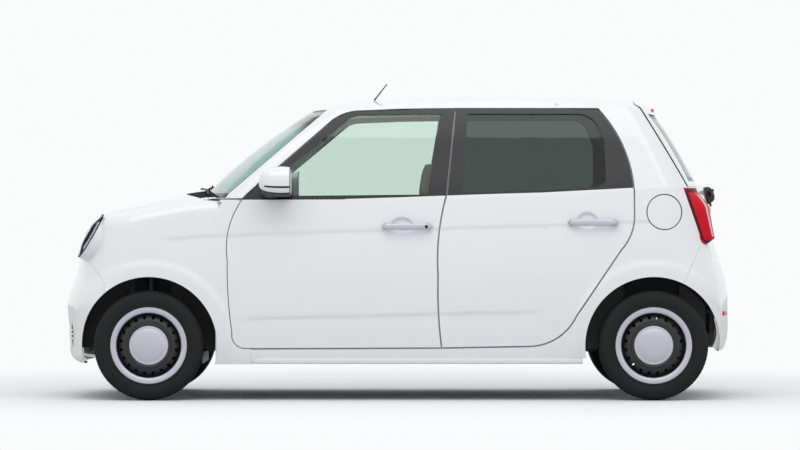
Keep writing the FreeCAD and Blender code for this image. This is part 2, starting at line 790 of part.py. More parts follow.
def tailgate():
    upper = OUTER.common(across(grown(TAILGATE_SIDE, -HALF_GAP)))
    high = upper.common(box(0, LENGTH, -WIDTH, WIDTH, BELT_REAR_Z - 4, EMPTY + 500))
    low_zone = box(0, LENGTH, -TAILGATE_HALF_W + HALF_GAP, TAILGATE_HALF_W - HALF_GAP, 0, BELT_REAR_Z)
    whole = high.fuse(upper.common(low_zone)).cut(inside(DOOR_DEPTH, SKIN + 6))
    window = prism(TAILGATE_WINDOW, -470, 470)
    return largest(cut_all(whole, [window] + plate_holes(TAIL_X, REAR_PLATE_Z)))


def tailgate_glass():
    sheet = upper_form(GLASS_SET).common(prism(TAILGATE_WINDOW, -470, 470))
    sheet = sheet.cut(upper_form(GLASS_SET + GLASS_THICK))
    return largest(sheet.common(box(1000, LENGTH, -WIDTH, WIDTH, 900, HEIGHT)))


add("tailgate", tailgate())
add("tailgate_glass", tailgate_glass())

# ---------------------------------------------------------------- rear wiper, wipers, aerial
WIPER_HUB = (TAIL_X - 88, 0.0, 1035.0)


def rear_wiper():
    x, y, z = WIPER_HUB
    hub = rod((x - 40, y, z), (x + 8, y, z + 2), 20)
    arm = rod((x, y, z), (x - 18, y - 300, z + 46), 7)
    return hub.fuse(arm).cut(nodes["tailgate"]).cut(nodes["tailgate_glass"])


add("rear_wiper", largest(rear_wiper()))

WIPER_PIVOTS = [(-1000.0, 330.0), (-1000.0, -200.0)]
WIPER_REACH = (30.0, -420.0)


def wiper(x, y):
    """A parked arm that lies along the foot of the screen."""
    z = COWL_TOP[1] + 2
    pivot = rod((x, y, z - 50), (x, y, z + 8), 13)
    arm = rod((x, y, z + 4), (x + 46, y + WIPER_REACH[1] * 0.6, z + 8), 6)
    blade = rod((x + 30, y - 40, z + 10), (x + 60, y + WIPER_REACH[1], z), 5)
    return pivot.fuse(arm).fuse(blade)


AERIAL_FOOT = (-120.0, -330.0)
AERIAL_LENGTH = 105.0
AERIAL_LEAN = 38.0


def wipers():
    pair = [largest(wiper(*pivot).cut(UPPER).cut(nodes["cowl_panel"])) for pivot in WIPER_PIVOTS]
    return Part.makeCompound(pair)


add("wipers", wipers())


def aerial():
    x, y = AERIAL_FOOT
    z = HEIGHT - 46
    lean = math.radians(AERIAL_LEAN)
    tip = (x + AERIAL_LENGTH * math.sin(lean), y, z + AERIAL_LENGTH * math.cos(lean))
    foot = Part.makeCone(16, 9, 26, V(x, y, z - 10))
    return foot.fuse(rod((x, y, z + 8), tip, 3)).cut(inside(0))


add("aerial", largest(aerial()))

# ---------------------------------------------------------------- floor and structure
FLOOR_Z = 222.0
FLOOR_THICK = 22.0
FLOOR_HALF_W = 648.0
FLOOR_EDGE_HALF_W = 700.0
FIREWALL_X = -900.0
HEEL_X = 500.0
REAR_FLOOR_Z = 452.0
LOAD_END_X = TAIL_X - 105.0
BACK_PANEL_Z = 690.0
TUNNEL_HALF_W = 95.0
TUNNEL_H = 90.0
STRUT_HOLE_R = 45.0
WHEELHOUSE_INNER = {FRONT_AXLE_X: 402.0, REAR_AXLE_X: 520.0}


def floor_pan():
    t = FLOOR_THICK
    w = FLOOR_EDGE_HALF_W
    front = box(FIREWALL_X, HEEL_X + t, -w, w, FLOOR_Z, FLOOR_Z + t)
    heel = box(HEEL_X, HEEL_X + t, -w, w, FLOOR_Z, REAR_FLOOR_Z)
    rear = box(HEEL_X, LOAD_END_X, -w, w, REAR_FLOOR_Z - t, REAR_FLOOR_Z)
    back = box(LOAD_END_X - t, LOAD_END_X, -TAILGATE_HALF_W, TAILGATE_HALF_W, 330, BACK_PANEL_Z)
    striker_top = TAILGATE_FOOT_Z + HALF_GAP - CONTACT_GAP
    striker = box(LOAD_END_X - t, LOAD_END_X + 12, -30, 30, BACK_PANEL_Z - 20, striker_top)
    tunnel = box(FIREWALL_X, HEEL_X + t, -TUNNEL_HALF_W, TUNNEL_HALF_W, FLOOR_Z, FLOOR_Z + TUNNEL_H)
    under_w = TUNNEL_HALF_W - t
    under = box(FIREWALL_X - 1, HEEL_X, -under_w, under_w, FLOOR_Z - 1, FLOOR_Z + TUNNEL_H - t)
    firewall = box(FIREWALL_X - t, FIREWALL_X, -w, w, FLOOR_Z + 60, 968)
    toe = path(
        (FIREWALL_X - t, FLOOR_Z + 90),
        (FIREWALL_X + 110, FLOOR_Z),
        (FIREWALL_X + 140, FLOOR_Z + t),
        (FIREWALL_X, FLOOR_Z + 120),
    )
    notch = box(HEEL_X - 1, HEEL_X + t + 1, -under_w, under_w, FLOOR_Z - 1, FLOOR_Z + TUNNEL_H - t)
    whole = joined([front, heel, rear, back, striker, tunnel, firewall, prism(toe, -w, w)])
    whole = whole.cut(under).cut(notch)
    for x, inner in WHEELHOUSE_INNER.items():
        r = ARCH_R + LINER_GAP + LINER_THICK
        for hand in (-1, 1):
            y0, y1 = sorted((hand * (inner - 12), hand * WIDTH))
            whole = whole.cut(axle_disc(r + 1, x, AXLE_Z, y0, y1))
    tail = inside(BUMPER_THICK).common(box(REAR_DOOR_REAR_X + 50, LENGTH, -WIDTH, WIDTH, 0, EMPTY))
    whole = joined([whole.common(inside(SIDE_DEPTH, PILLAR_DEPTH)), whole.common(tail)])
    return largest(whole.cut(nodes["body_side_left"]).cut(nodes["body_side_right"]))


LINER_NEIGHBOURS = ("body_side_left", "front_bumper", "rear_bumper", "floor_pan")


def liner(x):
    """Wheel arch liner: half a drum over the wheel, closed on its inner side."""
    inner = WHEELHOUSE_INNER[x]
    r = ARCH_R + LINER_GAP
    drum = axle_disc(r + LINER_THICK, x, AXLE_Z, -HALF_W + 40, -inner + LINER_THICK)
    drum = drum.cut(axle_disc(r, x, AXLE_Z, -HALF_W - 1, -inner))
    upper = box(x - 500, x + 500, -WIDTH, WIDTH, AXLE_Z - 20, EMPTY)
    drum = drum.common(upper)
    hub_slot = box(x - 140, x + 140, -inner - 2, -inner + 20, 0, AXLE_Z + 330)
    strut_hole = rod((x, -500, AXLE_Z), (x, -500, AXLE_Z + 2 * r), STRUT_HOLE_R)
    edge_depth = SKIN if x == FRONT_AXLE_X else SIDE_DEPTH
    return largest(drum.cut(hub_slot).cut(strut_hole).common(inside(edge_depth + CONTACT_GAP)))


add("floor_pan", floor_pan())
left_liners = [liner(FRONT_AXLE_X), liner(REAR_AXLE_X)]
left_liners = [largest(cut_all(piece, [nodes[n] for n in LINER_NEIGHBOURS])) for piece in left_liners]
add("arch_liners", Part.makeCompound(left_liners + [mirrored(piece) for piece in left_liners]))

RAIL_Y = 330.0
RAIL_W = 60.0
RAIL_Z = (380.0, 470.0)
RADIATOR_X = NOSE_X + 120.0
STRUT_TOP_Z = 800.0
RAIL_END_Y = 388.0
STOP_R = 7.0
ENGINE_X = (-1490.0, -1010.0)
ENGINE_HALF_W = 285.0
ENGINE_Z = (262.0, 790.0)


def front_structure():
    """Side rails, radiator panel and cross members of the engine bay."""
    x0 = RADIATOR_X
    x1 = FIREWALL_X - FLOOR_THICK
    pieces = []
    for hand in (-1, 1):
        y0, y1 = sorted((hand * RAIL_Y, hand * (RAIL_Y + RAIL_W)))
        pieces.append(box(x0, x1, y0, y1, *RAIL_Z))
        y0, y1 = sorted((hand * 300, hand * RAIL_END_Y))
        rail_end = box(x0 - 45, x0 + 10, y0, y1, RAIL_Z[0], 670)
        pieces.append(rail_end.common(inside(BUMPER_THICK)))
    pieces.append(box(x0 - 5, x0 + 35, -RAIL_END_Y, RAIL_END_Y, 300, 345))
    pieces.append(box(x0 - 5, x0 + 72, -RAIL_END_Y, RAIL_END_Y, 660, 690))
    pieces.append(box(x0, x0 + 30, -300, 300, 330, 670))
    for hand in (-1, 1):
        stop = (x0 + 62, hand * 250)
        stop_top = min(skin_top(stop[0] + i, stop[1], SKIN) for i in (-STOP_R, 0, STOP_R)) - CONTACT_GAP
        pieces.append(rod((*stop, 680), (*stop, stop_top), STOP_R))
        y0, y1 = sorted((hand * (RAIL_Y + 55), hand * (RAIL_Y + 67)))
        pieces.append(box(FRONT_AXLE_X - 90, FRONT_AXLE_X + 90, y0, y1, RAIL_Z[0], STRUT_TOP_Z))
        y0, y1 = sorted((hand * (RAIL_Y + 55), hand * 560))
        pieces.append(box(FRONT_AXLE_X - 90, FRONT_AXLE_X + 90, y0, y1, STRUT_TOP_Z, STRUT_TOP_Z + 12))
        y0, y1 = sorted((hand * ENGINE_HALF_W, hand * (RAIL_Y + 5)))
        pieces.append(box(FRONT_AXLE_X - 60, FRONT_AXLE_X, y0, y1, RAIL_Z[0] + 30, RAIL_Z[1]))
    return joined(pieces).cut(nodes["front_bumper"]).cut(nodes["arch_liners"])


add("front_structure", front_structure())

# ---------------------------------------------------------------- cabin
DRIVER_Y = 345.0
SEAT_W = 480.0
SEAT_FRONT_X = -420.0
SEAT_BACK_X = 95.0
CUSHION_Z = (330.0, 545.0)
BACK_TOP_Z = 1010.0
SOFT_R = 38.0


def front_seat(y):
    w = SEAT_W / 2
    cushion = soft_box(SEAT_FRONT_X, SEAT_BACK_X - 20, y - w, y + w, *CUSHION_Z, SOFT_R)
    back = soft_box(0, 125, y - w + 15, y + w - 15, 0, BACK_TOP_Z - CUSHION_Z[1] + 60, SOFT_R)
    back.rotate(V(0, 0, 0), V(0, 1, 0), 14)
    back.translate(V(SEAT_BACK_X - 100, 0, CUSHION_Z[1] - 60))
    head = soft_box(0, 90, y - 125, y + 125, 0, 170, 34)
    head.rotate(V(0, 0, 0), V(0, 1, 0), 10)
    head.translate(V(SEAT_BACK_X + 25, 0, BACK_TOP_Z + 8))
    foot, top = (SEAT_BACK_X + 50, BACK_TOP_Z - 60), (SEAT_BACK_X + 75, BACK_TOP_Z + 60)
    posts = [rod((foot[0], y + side, foot[1]), (top[0], y + side, top[1]), 7)
             for side in (-60, 60)]
    foot_z = FLOOR_Z + FLOOR_THICK
    base = box(SEAT_FRONT_X + 60, SEAT_BACK_X - 60, y - w + 60, y + w - 60, foot_z, CUSHION_Z[0] + 5)
    return joined([cushion, back, head, base] + posts)


REAR_SEAT_X = (520.0, 965.0)
REAR_SEAT_HALF_W = 590.0
REAR_CUSHION_Z = (REAR_FLOOR_Z, 590.0)


def rear_seat():
    half = REAR_SEAT_HALF_W
    cushion = soft_box(REAR_SEAT_X[0], REAR_SEAT_X[1], -half, half, *REAR_CUSHION_Z, SOFT_R)
    back = soft_box(0, 120, -505, 505, 0, 480, SOFT_R)
    back.rotate(V(0, 0, 0), V(0, 1, 0), 18)
    back.translate(V(REAR_SEAT_X[1] - 130, 0, REAR_CUSHION_Z[1] - 70))
    return joined([cushion, back])


DASH_X = (FIREWALL_X, -600.0)
DASH_Z = (660.0, 965.0)
COLUMN_END = (-560.0, DRIVER_Y, 880.0)
COLUMN_RAKE = 26.0
STEERING_WHEEL_R = 185.0
STEERING_GRIP_R = 15.0


def column_point(along):
    """A point on the steering column's line, this far from its end towards the driver."""
    rake = math.radians(COLUMN_RAKE)
    x, y, z = COLUMN_END
    return V(x + along * math.cos(rake), y, z + along * math.sin(rake))


def dashboard():
    profile = path(
        (DASH_X[0], DASH_Z[0]),
        (DASH_X[0], DASH_Z[1]),
        (DASH_X[1] - 70, DASH_Z[1] - 5),
        (DASH_X[1] - 10, DASH_Z[1] - 30, DASH_X[1], DASH_Z[1] - 90),
        (DASH_X[1] - 40, DASH_Z[0]),
    )
    slab = prism(profile, -FLOOR_HALF_W + 15, FLOOR_HALF_W - 15)
    axis = column_point(1) - column_point(0)
    column = Part.makeCylinder(26, 250, column_point(-250), axis)
    whole = slab.fuse(column)
    return largest(whole.cut(nodes["body_side_left"]).cut(nodes["body_side_right"]))


def steering_wheel():
    axis = column_point(1) - column_point(0)
    centre = column_point(62)
    ring = Part.makeTorus(STEERING_WHEEL_R, STEERING_GRIP_R, centre, axis)
    hub = Part.makeCylinder(58, 50, column_point(24), axis)
    boss = Part.makeCylinder(24, 30, column_point(0.4), axis)
    pieces = [ring, hub, boss]
    across_axis = V(0, 1, 0)
    down = axis.cross(across_axis)
    for direction in (across_axis, across_axis * -1, down):
        pieces.append(Part.makeCylinder(10, STEERING_WHEEL_R - 5, column_point(55), direction))
    return joined(pieces)


add("front_seats", Part.makeCompound([front_seat(DRIVER_Y), front_seat(-DRIVER_Y)]))
add("rear_seat", rear_seat())
add("dashboard", dashboard())
add("steering_wheel", steering_wheel())

# ---------------------------------------------------------------- engine and running gear
KINGPIN_Y = 590.0
HUB_R = 62.0
DISC_R = 113.0
DISC_Y = (606.0, 622.0)
BALL_Z = 134.0
BALL_R = 13.0

add("engine", box(*ENGINE_X, -ENGINE_HALF_W, ENGINE_HALF_W, *ENGINE_Z))


def front_suspension():
    """Cross member, lower arms out to the ball joints, steering rack and struts."""
    x = FRONT_AXLE_X
    pieces = [box(x + 40, x + 250, -330, 330, 170, 225)]
    for hand in (-1, 1):
        ball = (x, hand * KINGPIN_Y, BALL_Z)
        pieces.append(Part.makeSphere(BALL_R, V(*ball)))
        pieces.append(rod((x + 60, hand * 310, 195), ball, 12))
        pieces.append(rod((x + 230, hand * 310, 195), ball, 12))
        pieces.append(rod((x + 150, hand * 300, 205), (x + 150, hand * 415, 235), 12))
        y0, y1 = sorted((hand * 300, hand * 360))
        pieces.append(box(x + 190, x + 245, y0, y1, 200, RAIL_Z[0]))
        pieces.append(rod((x, hand * 515, 400), (x, hand * 490, STRUT_TOP_Z), 22))
        pieces.append(rod((x, hand * 505, 640), (x, hand * 495, STRUT_TOP_Z - 1), 40))
    return joined(pieces).common(box(-LENGTH, LENGTH, -WIDTH, WIDTH, 0, STRUT_TOP_Z))


def knuckle():
    """Hub, brake disc, ball stud and steering arm of the left front wheel."""
    x, z = FRONT_AXLE_X, AXLE_Z
    disc = axle_disc(DISC_R, x, z, -DISC_Y[1], -DISC_Y[0])
    bell = axle_disc(HUB_R, x, z, -DISC_Y[1] - 14, -KINGPIN_Y + 30)
    leg = rod((x, -KINGPIN_Y, z), (x, -KINGPIN_Y, BALL_Z + BALL_R + 10), 13)
    stud = rod((x, -KINGPIN_Y, z), (x, -KINGPIN_Y, BALL_Z + BALL_R + CONTACT_GAP), 5)
    arm = rod((x, -KINGPIN_Y + 15, z), (x + 95, -KINGPIN_Y + 40, z - 30), 11)
    return joined([disc, bell, leg, stud, arm])


REAR_DRUM_R = 105.0
BEAM_X = REAR_AXLE_X - 190.0


def rear_axle():
    pieces = [rod((BEAM_X, -480, 270), (BEAM_X, 480, 270), 38)]
    for hand in (-1, 1):
        pivot = (REAR_AXLE_X - 400, hand * 480, 300)
        hub = (REAR_AXLE_X, hand * 480, AXLE_Z)
        pieces.append(rod(pivot, hub, 24))
        y0, y1 = sorted((hand * 460, hand * (DISC_Y[1] + 14)))
        pieces.append(axle_disc(32, REAR_AXLE_X, AXLE_Z, y0, y1))
        y0, y1 = sorted((hand * 560, hand * (DISC_Y[1] + 13)))
        pieces.append(axle_disc(REAR_DRUM_R, REAR_AXLE_X, AXLE_Z, y0, y1))
        spring = (REAR_AXLE_X - 60, hand * 455)
        pieces.append(rod((*spring, AXLE_Z), (*spring, REAR_FLOOR_Z - FLOOR_THICK), 45))
        pieces.append(rod(pivot, (*pivot[:2], REAR_FLOOR_Z - FLOOR_THICK), 22))
    return joined(pieces)


EXHAUST_R = 24.0


def exhaust():
    run = [
        (ENGINE_X[1] - 30, -40, 250),
        (-700, 0, 258),
        (525, 0, 258),
        (770, 175, 300),
        (1130, 330, 366),
        (1380, 330, 300),
    ]
    pieces = [rod(a, b, EXHAUST_R) for a, b in zip(run, run[1:])]
    pieces += [Part.makeSphere(EXHAUST_R, V(*point)) for point in run[1:-1]]
    pieces.append(rod((1380, 330, 290), (1380, -150, 290), 75))
    pieces.append(rod((1380, 330, 262), (TAIL_X - 85, 330, 212), 18))
    return joined(pieces).cut(nodes["engine"])


def fuel_tank():
    return soft_box(600, 1010, -430, 20, 235, REAR_FLOOR_Z - FLOOR_THICK, 30)


add("front_suspension", front_suspension())
add_pair("knuckle", knuckle())
add("rear_axle", rear_axle())
add("exhaust", exhaust())
add("fuel_tank", fuel_tank())

# ---------------------------------------------------------------- wheels
CAP_R = 97.5
WHEEL_HOLES = 20
HOLE_CIRCLE_R = 139.0
HOLE_R = 8.5
WHEEL_FACE = 54.0          # the disc's face, outboard of the tyre's middle
HUB_CLEAR = 0.4


def turned(profile):
    """A closed (outboard, radius) profile turned about the axle, at the origin."""
    wire = Part.makePolygon([V(0, -w, r) for w, r in profile + profile[:1]])
    return Part.Face(wire).revolve(V(0, 0, 0), V(0, 1, 0), 360)


def tyre():
    w = TYRE_W / 2
    h = TYRE_R
    half = [
        (RIM_W / 2 - CONTACT_GAP, RIM_R + CONTACT_GAP),
        (RIM_W / 2 - CONTACT_GAP, RIM_LIP_R + CONTACT_GAP),
        (w - 9, RIM_LIP_R + 2),
        (w, RIM_R + 42),
        (w - 3, h - 34),
        (w - 12, h - 10),
        (w - 26, h - 1.5),
        (0, h),
    ]
    return turned(half + [(-a, b) for a, b in reversed(half[:-1])])


def wheel():
    w = RIM_W / 2
    t = RIM_LIP_W
    barrel = turned([
        (w, RIM_R), (w, RIM_LIP_R), (w + t, RIM_LIP_R), (w + t, RIM_R - 14),
        (w - 10, RIM_R - 14), (w - 20, RIM_R - 22), (-w + 20, RIM_R - 22), (-w + 4, RIM_R - 8),
        (-w - t, RIM_R - 8), (-w - t, RIM_LIP_R - 4), (-w, RIM_LIP_R - 4), (-w, RIM_R),
    ])
    hub_face = KINGPIN_Y - WHEEL_Y + (DISC_Y[1] + 14 - KINGPIN_Y) + HUB_CLEAR
    face = WHEEL_FACE
    disc = turned([
        (hub_face, 0), (hub_face, HUB_R), (face - 16, HUB_R + 24), (face - 8, CAP_R + 4),
        (face - 8, 122), (face - 22, 150), (face - 30, RIM_R - 20), (face - 24, RIM_R - 20),
        (face - 15, 152), (face, 124), (face, CAP_R + 6), (face - 4, CAP_R),
        (face + 4, CAP_R - 5), (face + 13, CAP_R * 0.7), (face + 17, CAP_R * 0.35), (face + 18, 0),
    ])
    holes = []
    for index in range(WHEEL_HOLES):
        angle = 2 * math.pi * index / WHEEL_HOLES
        x, z = HOLE_CIRCLE_R * math.cos(angle), HOLE_CIRCLE_R * math.sin(angle)
        holes.append(Part.makeCylinder(HOLE_R, 80, V(x, -face - 10, z), V(0, 1, 0)))
    return joined([barrel, disc]).cut(Part.makeCompound(holes))


TYRE = tyre()
WHEEL = wheel()
for place, x in (("front", FRONT_AXLE_X), ("rear", REAR_AXLE_X)):
    for part_name, solid in (("tyre", TYRE), ("wheel", WHEEL)):
        left = solid.copy()
        left.translate(V(x, -WHEEL_Y, AXLE_Z))
        add_pair(place + "_" + part_name, left)

# ---------------------------------------------------------------- files
os.makedirs("parts", exist_ok=True)
for name, shape in nodes.items():
    shape.exportStep(os.path.join("parts", name + ".step"))
    state = "valid" if shape.isValid() else "NOT VALID"
    print(name, len(shape.Solids), round(shape.Volume / 1e6, 2), "litres", state)
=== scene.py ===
# %% [markdown]
# # A small white five-door car
# The CAD model already puts every panel, hinge and wheel in its true place. This script
# keeps that frame and adds what a press shop, a paint shop and a trim shop would add:
# creases, wheel-arch flares, black window frames, lamps, tyres with tread, and seats.

# %% Load the frame
import math

import bmesh
import bpy
import numpy as np
from mathutils import Matrix, Vector
from mathutils.bvhtree import BVHTree
from mathutils.geometry import delaunay_2d_cdt
from mathutils.interpolate import poly_3d_calc
from mathutils.kdtree import KDTree


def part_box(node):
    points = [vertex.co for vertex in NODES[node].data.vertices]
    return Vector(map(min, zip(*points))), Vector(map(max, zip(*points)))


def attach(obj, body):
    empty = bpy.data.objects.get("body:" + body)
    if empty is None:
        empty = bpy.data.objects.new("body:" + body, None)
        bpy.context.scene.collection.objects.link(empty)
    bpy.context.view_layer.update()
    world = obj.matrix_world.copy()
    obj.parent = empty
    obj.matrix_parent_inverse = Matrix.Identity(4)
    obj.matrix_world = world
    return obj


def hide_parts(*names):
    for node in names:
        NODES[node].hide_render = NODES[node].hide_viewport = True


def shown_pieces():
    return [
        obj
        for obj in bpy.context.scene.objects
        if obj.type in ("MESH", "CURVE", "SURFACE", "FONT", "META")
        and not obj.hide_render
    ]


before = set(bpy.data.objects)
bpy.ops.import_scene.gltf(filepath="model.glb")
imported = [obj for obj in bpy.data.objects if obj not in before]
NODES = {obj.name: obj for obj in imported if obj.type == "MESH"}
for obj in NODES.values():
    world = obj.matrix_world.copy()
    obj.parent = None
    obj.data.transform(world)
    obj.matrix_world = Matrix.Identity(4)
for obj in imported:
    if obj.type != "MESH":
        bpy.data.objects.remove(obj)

scene = bpy.context.scene
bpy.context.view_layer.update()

# %% [markdown]
# ## Where things are
# Nothing is measured twice. The axles and the tyre's radius come from the boxes of the CAD
# nodes, so a later change of wheelbase moves the wheels, the flares and the arch shields with it.

# %% Places read from the CAD nodes


def middle_of(node):
    low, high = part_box(node)
    return (low + high) / 2


FRONT_AXLE = middle_of("front_wheel_left")
REAR_AXLE = middle_of("rear_wheel_left")
TYRE_R = (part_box("front_tyre_left")[1].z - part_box("front_tyre_left")[0].z) / 2
LEFT, RIGHT = -1, 1
NAMES = {LEFT: "left", RIGHT: "right"}
print("axles at", round(FRONT_AXLE.x, 3), round(REAR_AXLE.x, 3), "tyre radius", round(TYRE_R, 3))

# %% [markdown]
# ## Camera
# A short lens close to a car swells whatever is nearest. A long lens far away keeps the
# proportions true, as in a side elevation, so the camera stands 20 m off and its lens is
# worked out from the width that it has to take in.

# %% Camera
camera_data = bpy.data.cameras.new("side_camera")
camera = bpy.data.objects.new("side_camera", camera_data)
scene.collection.objects.link(camera)
CAMERA_DISTANCE = 20.0
VIEW_WIDTH = 3.993
FLANK_Y = -0.7
SENSOR = 36
camera.location = (0.011, FLANK_Y - CAMERA_DISTANCE, 0.876)
camera.rotation_euler = (math.pi / 2, 0, 0)
camera_data.sensor_width = SENSOR
camera_data.lens = SENSOR * CAMERA_DISTANCE / VIEW_WIDTH
camera_data.clip_end = 300
scene.camera = camera
scene.view_settings.view_transform = "Standard"
print("lens", round(camera_data.lens, 1), "mm, so the view is", VIEW_WIDTH, "m wide at the flank")

# %% [markdown]
# ## Finishes
# A finish is a Principled shader with two noises: a wide, faint one that varies the colour
# as handling and light dirt do, and a fine one that gives the surface its grain. Values
# that are the same all over sit on the shader's own sockets.

# %% A maker of finishes


def shade(red, green, blue):
    """A screen colour, 0 to 255, as the linear colour that the shader wants."""
    return [((c / 255 + 0.055) / 1.055) ** 2.4 if c > 10 else c / 3295 for c in (red, green, blue)]


def set_sockets(node, values):
    """Sets a node's sockets, named in words such as coat_weight."""
    for words, value in values.items():
        node.inputs[words.replace("_", " ").title().replace("Ior", "IOR")].default_value = value


def added(tree, kind, **values):
    """A new shader node, with the sockets named in values set."""
    node = tree.nodes.new("ShaderNode" + kind)
    set_sockets(node, values)
    return node


def wire(tree, *pairs):
    """Joins each node output to a node input."""
    for source, target in pairs:
        tree.links.new(source, target)


def finish(name, colour, roughness, mottle=0.03, mottle_scale=6.0, grain=0.0, grain_scale=400.0,
           depth=0.0004, **sockets):
    """A surface: its colour with a faint mottle, its shine, and a fine grain as bump."""
    material = bpy.data.materials.new(name)
    material.use_nodes = True
    tree = material.node_tree
    shader = tree.nodes["Principled BSDF"]
    set_sockets(shader, {"roughness": roughness, **sockets})
    place = added(tree, "TexCoord").outputs["Object"]
    clouds = added(tree, "TexNoise", scale=mottle_scale, detail=4.0)
    ramp = added(tree, "ValToRGB")
    for end, position, way in zip(ramp.color_ramp.elements, (0.3, 0.7), (-1, 1)):
        end.position = position
        end.color = (*[min(1, c * (1 + way * mottle)) for c in shade(*colour)], 1)
    wire(tree, (place, clouds.inputs["Vector"]), (clouds.outputs["Fac"], ramp.inputs["Fac"]),
         (ramp.outputs["Color"], shader.inputs["Base Color"]))
    if grain:
        speckle = added(tree, "TexNoise", scale=grain_scale)
        bump = added(tree, "Bump", strength=grain, distance=depth)
        wire(tree, (place, speckle.inputs["Vector"]), (speckle.outputs["Fac"], bump.inputs["Height"]),
             (bump.outputs["Normal"], shader.inputs["Normal"]))
    return material


print("a maker of finishes is ready")

# %% The car's finishes
PAINT = finish("pearl_white_paint", (232, 233, 237), 0.32, 0.006, 3.0, 0.05, 900.0, 0.0002,
               coat_weight=0.9, coat_roughness=0.04)
SASH = finish("black_window_frame", (21, 21, 24), 0.3, 0.03, 5.0, 0.05, 500.0, coat_weight=0.15)
BLACK = finish("black_grained_plastic", (38, 38, 40), 0.55, 0.06, 8.0, 0.35, 700.0)
GLOSS_BLACK = finish("gloss_black_plastic", (16, 16, 18), 0.12, 0.03, 5.0, 0.03, 300.0)
RUBBER = finish("tyre_rubber", (20, 21, 22), 0.7, 0.12, 14.0, 0.3, 260.0, specular_ior_level=0.3)
SEAL = finish("black_rubber_seal", (22, 22, 24), 0.7, 0.05, 30.0, 0.2, 500.0)
UNDERSEAL = finish("underbody_coating", (52, 52, 54), 0.8, 0.15, 5.0, 0.6, 180.0, 0.001)
CAST = finish("cast_metal", (118, 117, 116), 0.55, 0.1, 12.0, 0.6, 220.0, 0.0008, metallic=0.8)
SATIN_BLACK_STEEL = finish("satin_black_steel", (34, 34, 36), 0.42, 0.06, 10.0, 0.12, 300.0)
PIPE = finish("dull_exhaust_steel", (128, 122, 114), 0.42, 0.15, 9.0, 0.1, 200.0, metallic=1.0)
GREEN_GLASS = finish("light_green_glass", (226, 240, 232), 0.0, 0.004, 2.0, transmission_weight=1.0, ior=1.45)
PRIVACY_GLASS = finish("dark_privacy_glass", (118, 132, 126), 0.0, 0.01, 2.0, transmission_weight=1.0,
                       ior=1.45)
TRIM = finish("warm_grey_trim", (176, 170, 162), 0.7, 0.05, 8.0, 0.4, 500.0)
DASH = finish("dark_grained_dash", (74, 71, 70), 0.6, 0.05, 8.0, 0.5, 420.0)
SILVER = finish("satin_silver", (196, 198, 208), 0.3, 0.02, 6.0, 0.03, 500.0, metallic=0.35)
LENS = finish("clear_lens", (244, 246, 250), 0.0, 0.003, 3.0, transmission_weight=1.0, ior=1.02)
print("finishes", len(bpy.data.materials))

# %% [markdown]
# ## Which node wears what
# The CAD solids that are already the right shape only need a finish. A table from words in
# the node's name to a finish does that in one pass.

# %% Finishes for the CAD nodes
WEARS = [
    (("body_side", "wing", "bumper", "roof", "bonnet", "tailgate", "fuel_lid"), PAINT),
    (("mirror", "front_door", "rear_door"), PAINT),
    (("tyre",), RUBBER), (("grille", "cowl", "wiper", "aerial", "liner"), BLACK),
    (("floor_pan", "front_structure"), UNDERSEAL), (("knuckle", "engine"), CAST),
    (("suspension", "rear_axle"), SATIN_BLACK_STEEL), (("exhaust",), PIPE), (("fuel_tank",), BLACK),
    (("dashboard",), DASH), (("steering_wheel",), BLACK), (("seat",), TRIM),
    (("headlamps", "tail_lamps"), LENS), (("front_wheel", "rear_wheel"), SATIN_BLACK_STEEL),
    (("front_door_glass", "windscreen"), GREEN_GLASS), (("rear_door_glass", "tailgate_glass"), PRIVACY_GLASS),
]


def wear(thing, material):
    thing.data.materials.clear()
    thing.data.materials.append(material)


for name, node in NODES.items():
    chosen = [material for words, material in WEARS if any(word in name for word in words)]
    wear(node, chosen[-1])
print("dressed", len(NODES), "CAD nodes")

# %% [markdown]
# ## Pressing the panels
# A real door skin is one sheet with creases pressed into it. The CAD panel is smooth, so
# its outside is meshed again: the CAD outline is kept exactly, a fine net is laid inside
# it, each knot of the net is set on the CAD surface, and then pushed in or out by the
# height of the pressing at that place. The inner faces of the panel stay as they are.

# %% The lines that are pressed into the sides


def along(line, x):
    """The height of a line at x, from the few (x, height) places that it runs through."""
    return float(np.interp(x, [p[0] for p in line], [p[1] for p in line]))


SHOULDER_LINE = [(-1.23, 0.808), (-0.99, 0.826), (-0.49, 0.846), (0.21, 0.866), (0.84, 0.884), (1.12, 0.899),
                 (1.45, 0.902)]
LOWER_LINE = [(-0.84, 0.414), (-0.19, 0.430), (0.21, 0.440), (0.76, 0.452)]
BELT_LINE = [(-0.80, 1.002), (-0.29, 1.005), (0.01, 1.014), (0.245, 1.023), (0.51, 1.032), (0.72, 1.038),
             (1.01, 1.053), (1.2, 1.063)]
LEDGE_LINE = [(-0.9, 1.000), (-0.89, 1.003), (0.40, 1.018), (1.75, 1.090)]
FOLD_DEPTH = 0.0060
FOLD_SOFT = 0.016
FOLD_ENDS = 0.16
FLARE_R = 0.400
FLARE_OUT = 0.009
FLARE_FADES = 0.034
HANDLES = {"front_door": (0.046, 0.868), "rear_door": (0.974, 0.888)}
CUPS = [(0.021, 0.872, 0.062, 0.046), (0.945, 0.896, 0.056, 0.048)]
CUP_DEPTH = 0.013


def ease(a, b, t):
    """0 before a, 1 after b, smooth between."""
    t = min(1.0, max(0.0, (t - a) / (b - a)))
    return t * t * (3 - 2 * t)


def fold(x, z, line, reach):
    """Under a pressed line the metal steps in, and comes back slowly below."""
    first, last = line[0][0], line[-1][0]
    fade = ease(first, first + FOLD_ENDS, x) * (1 - ease(last - FOLD_ENDS, last, x))
    below = along(line, x) - z
    return -FOLD_DEPTH * fade * math.exp(-below / reach) * ease(0, FOLD_SOFT, below) if below > 0 else 0.0


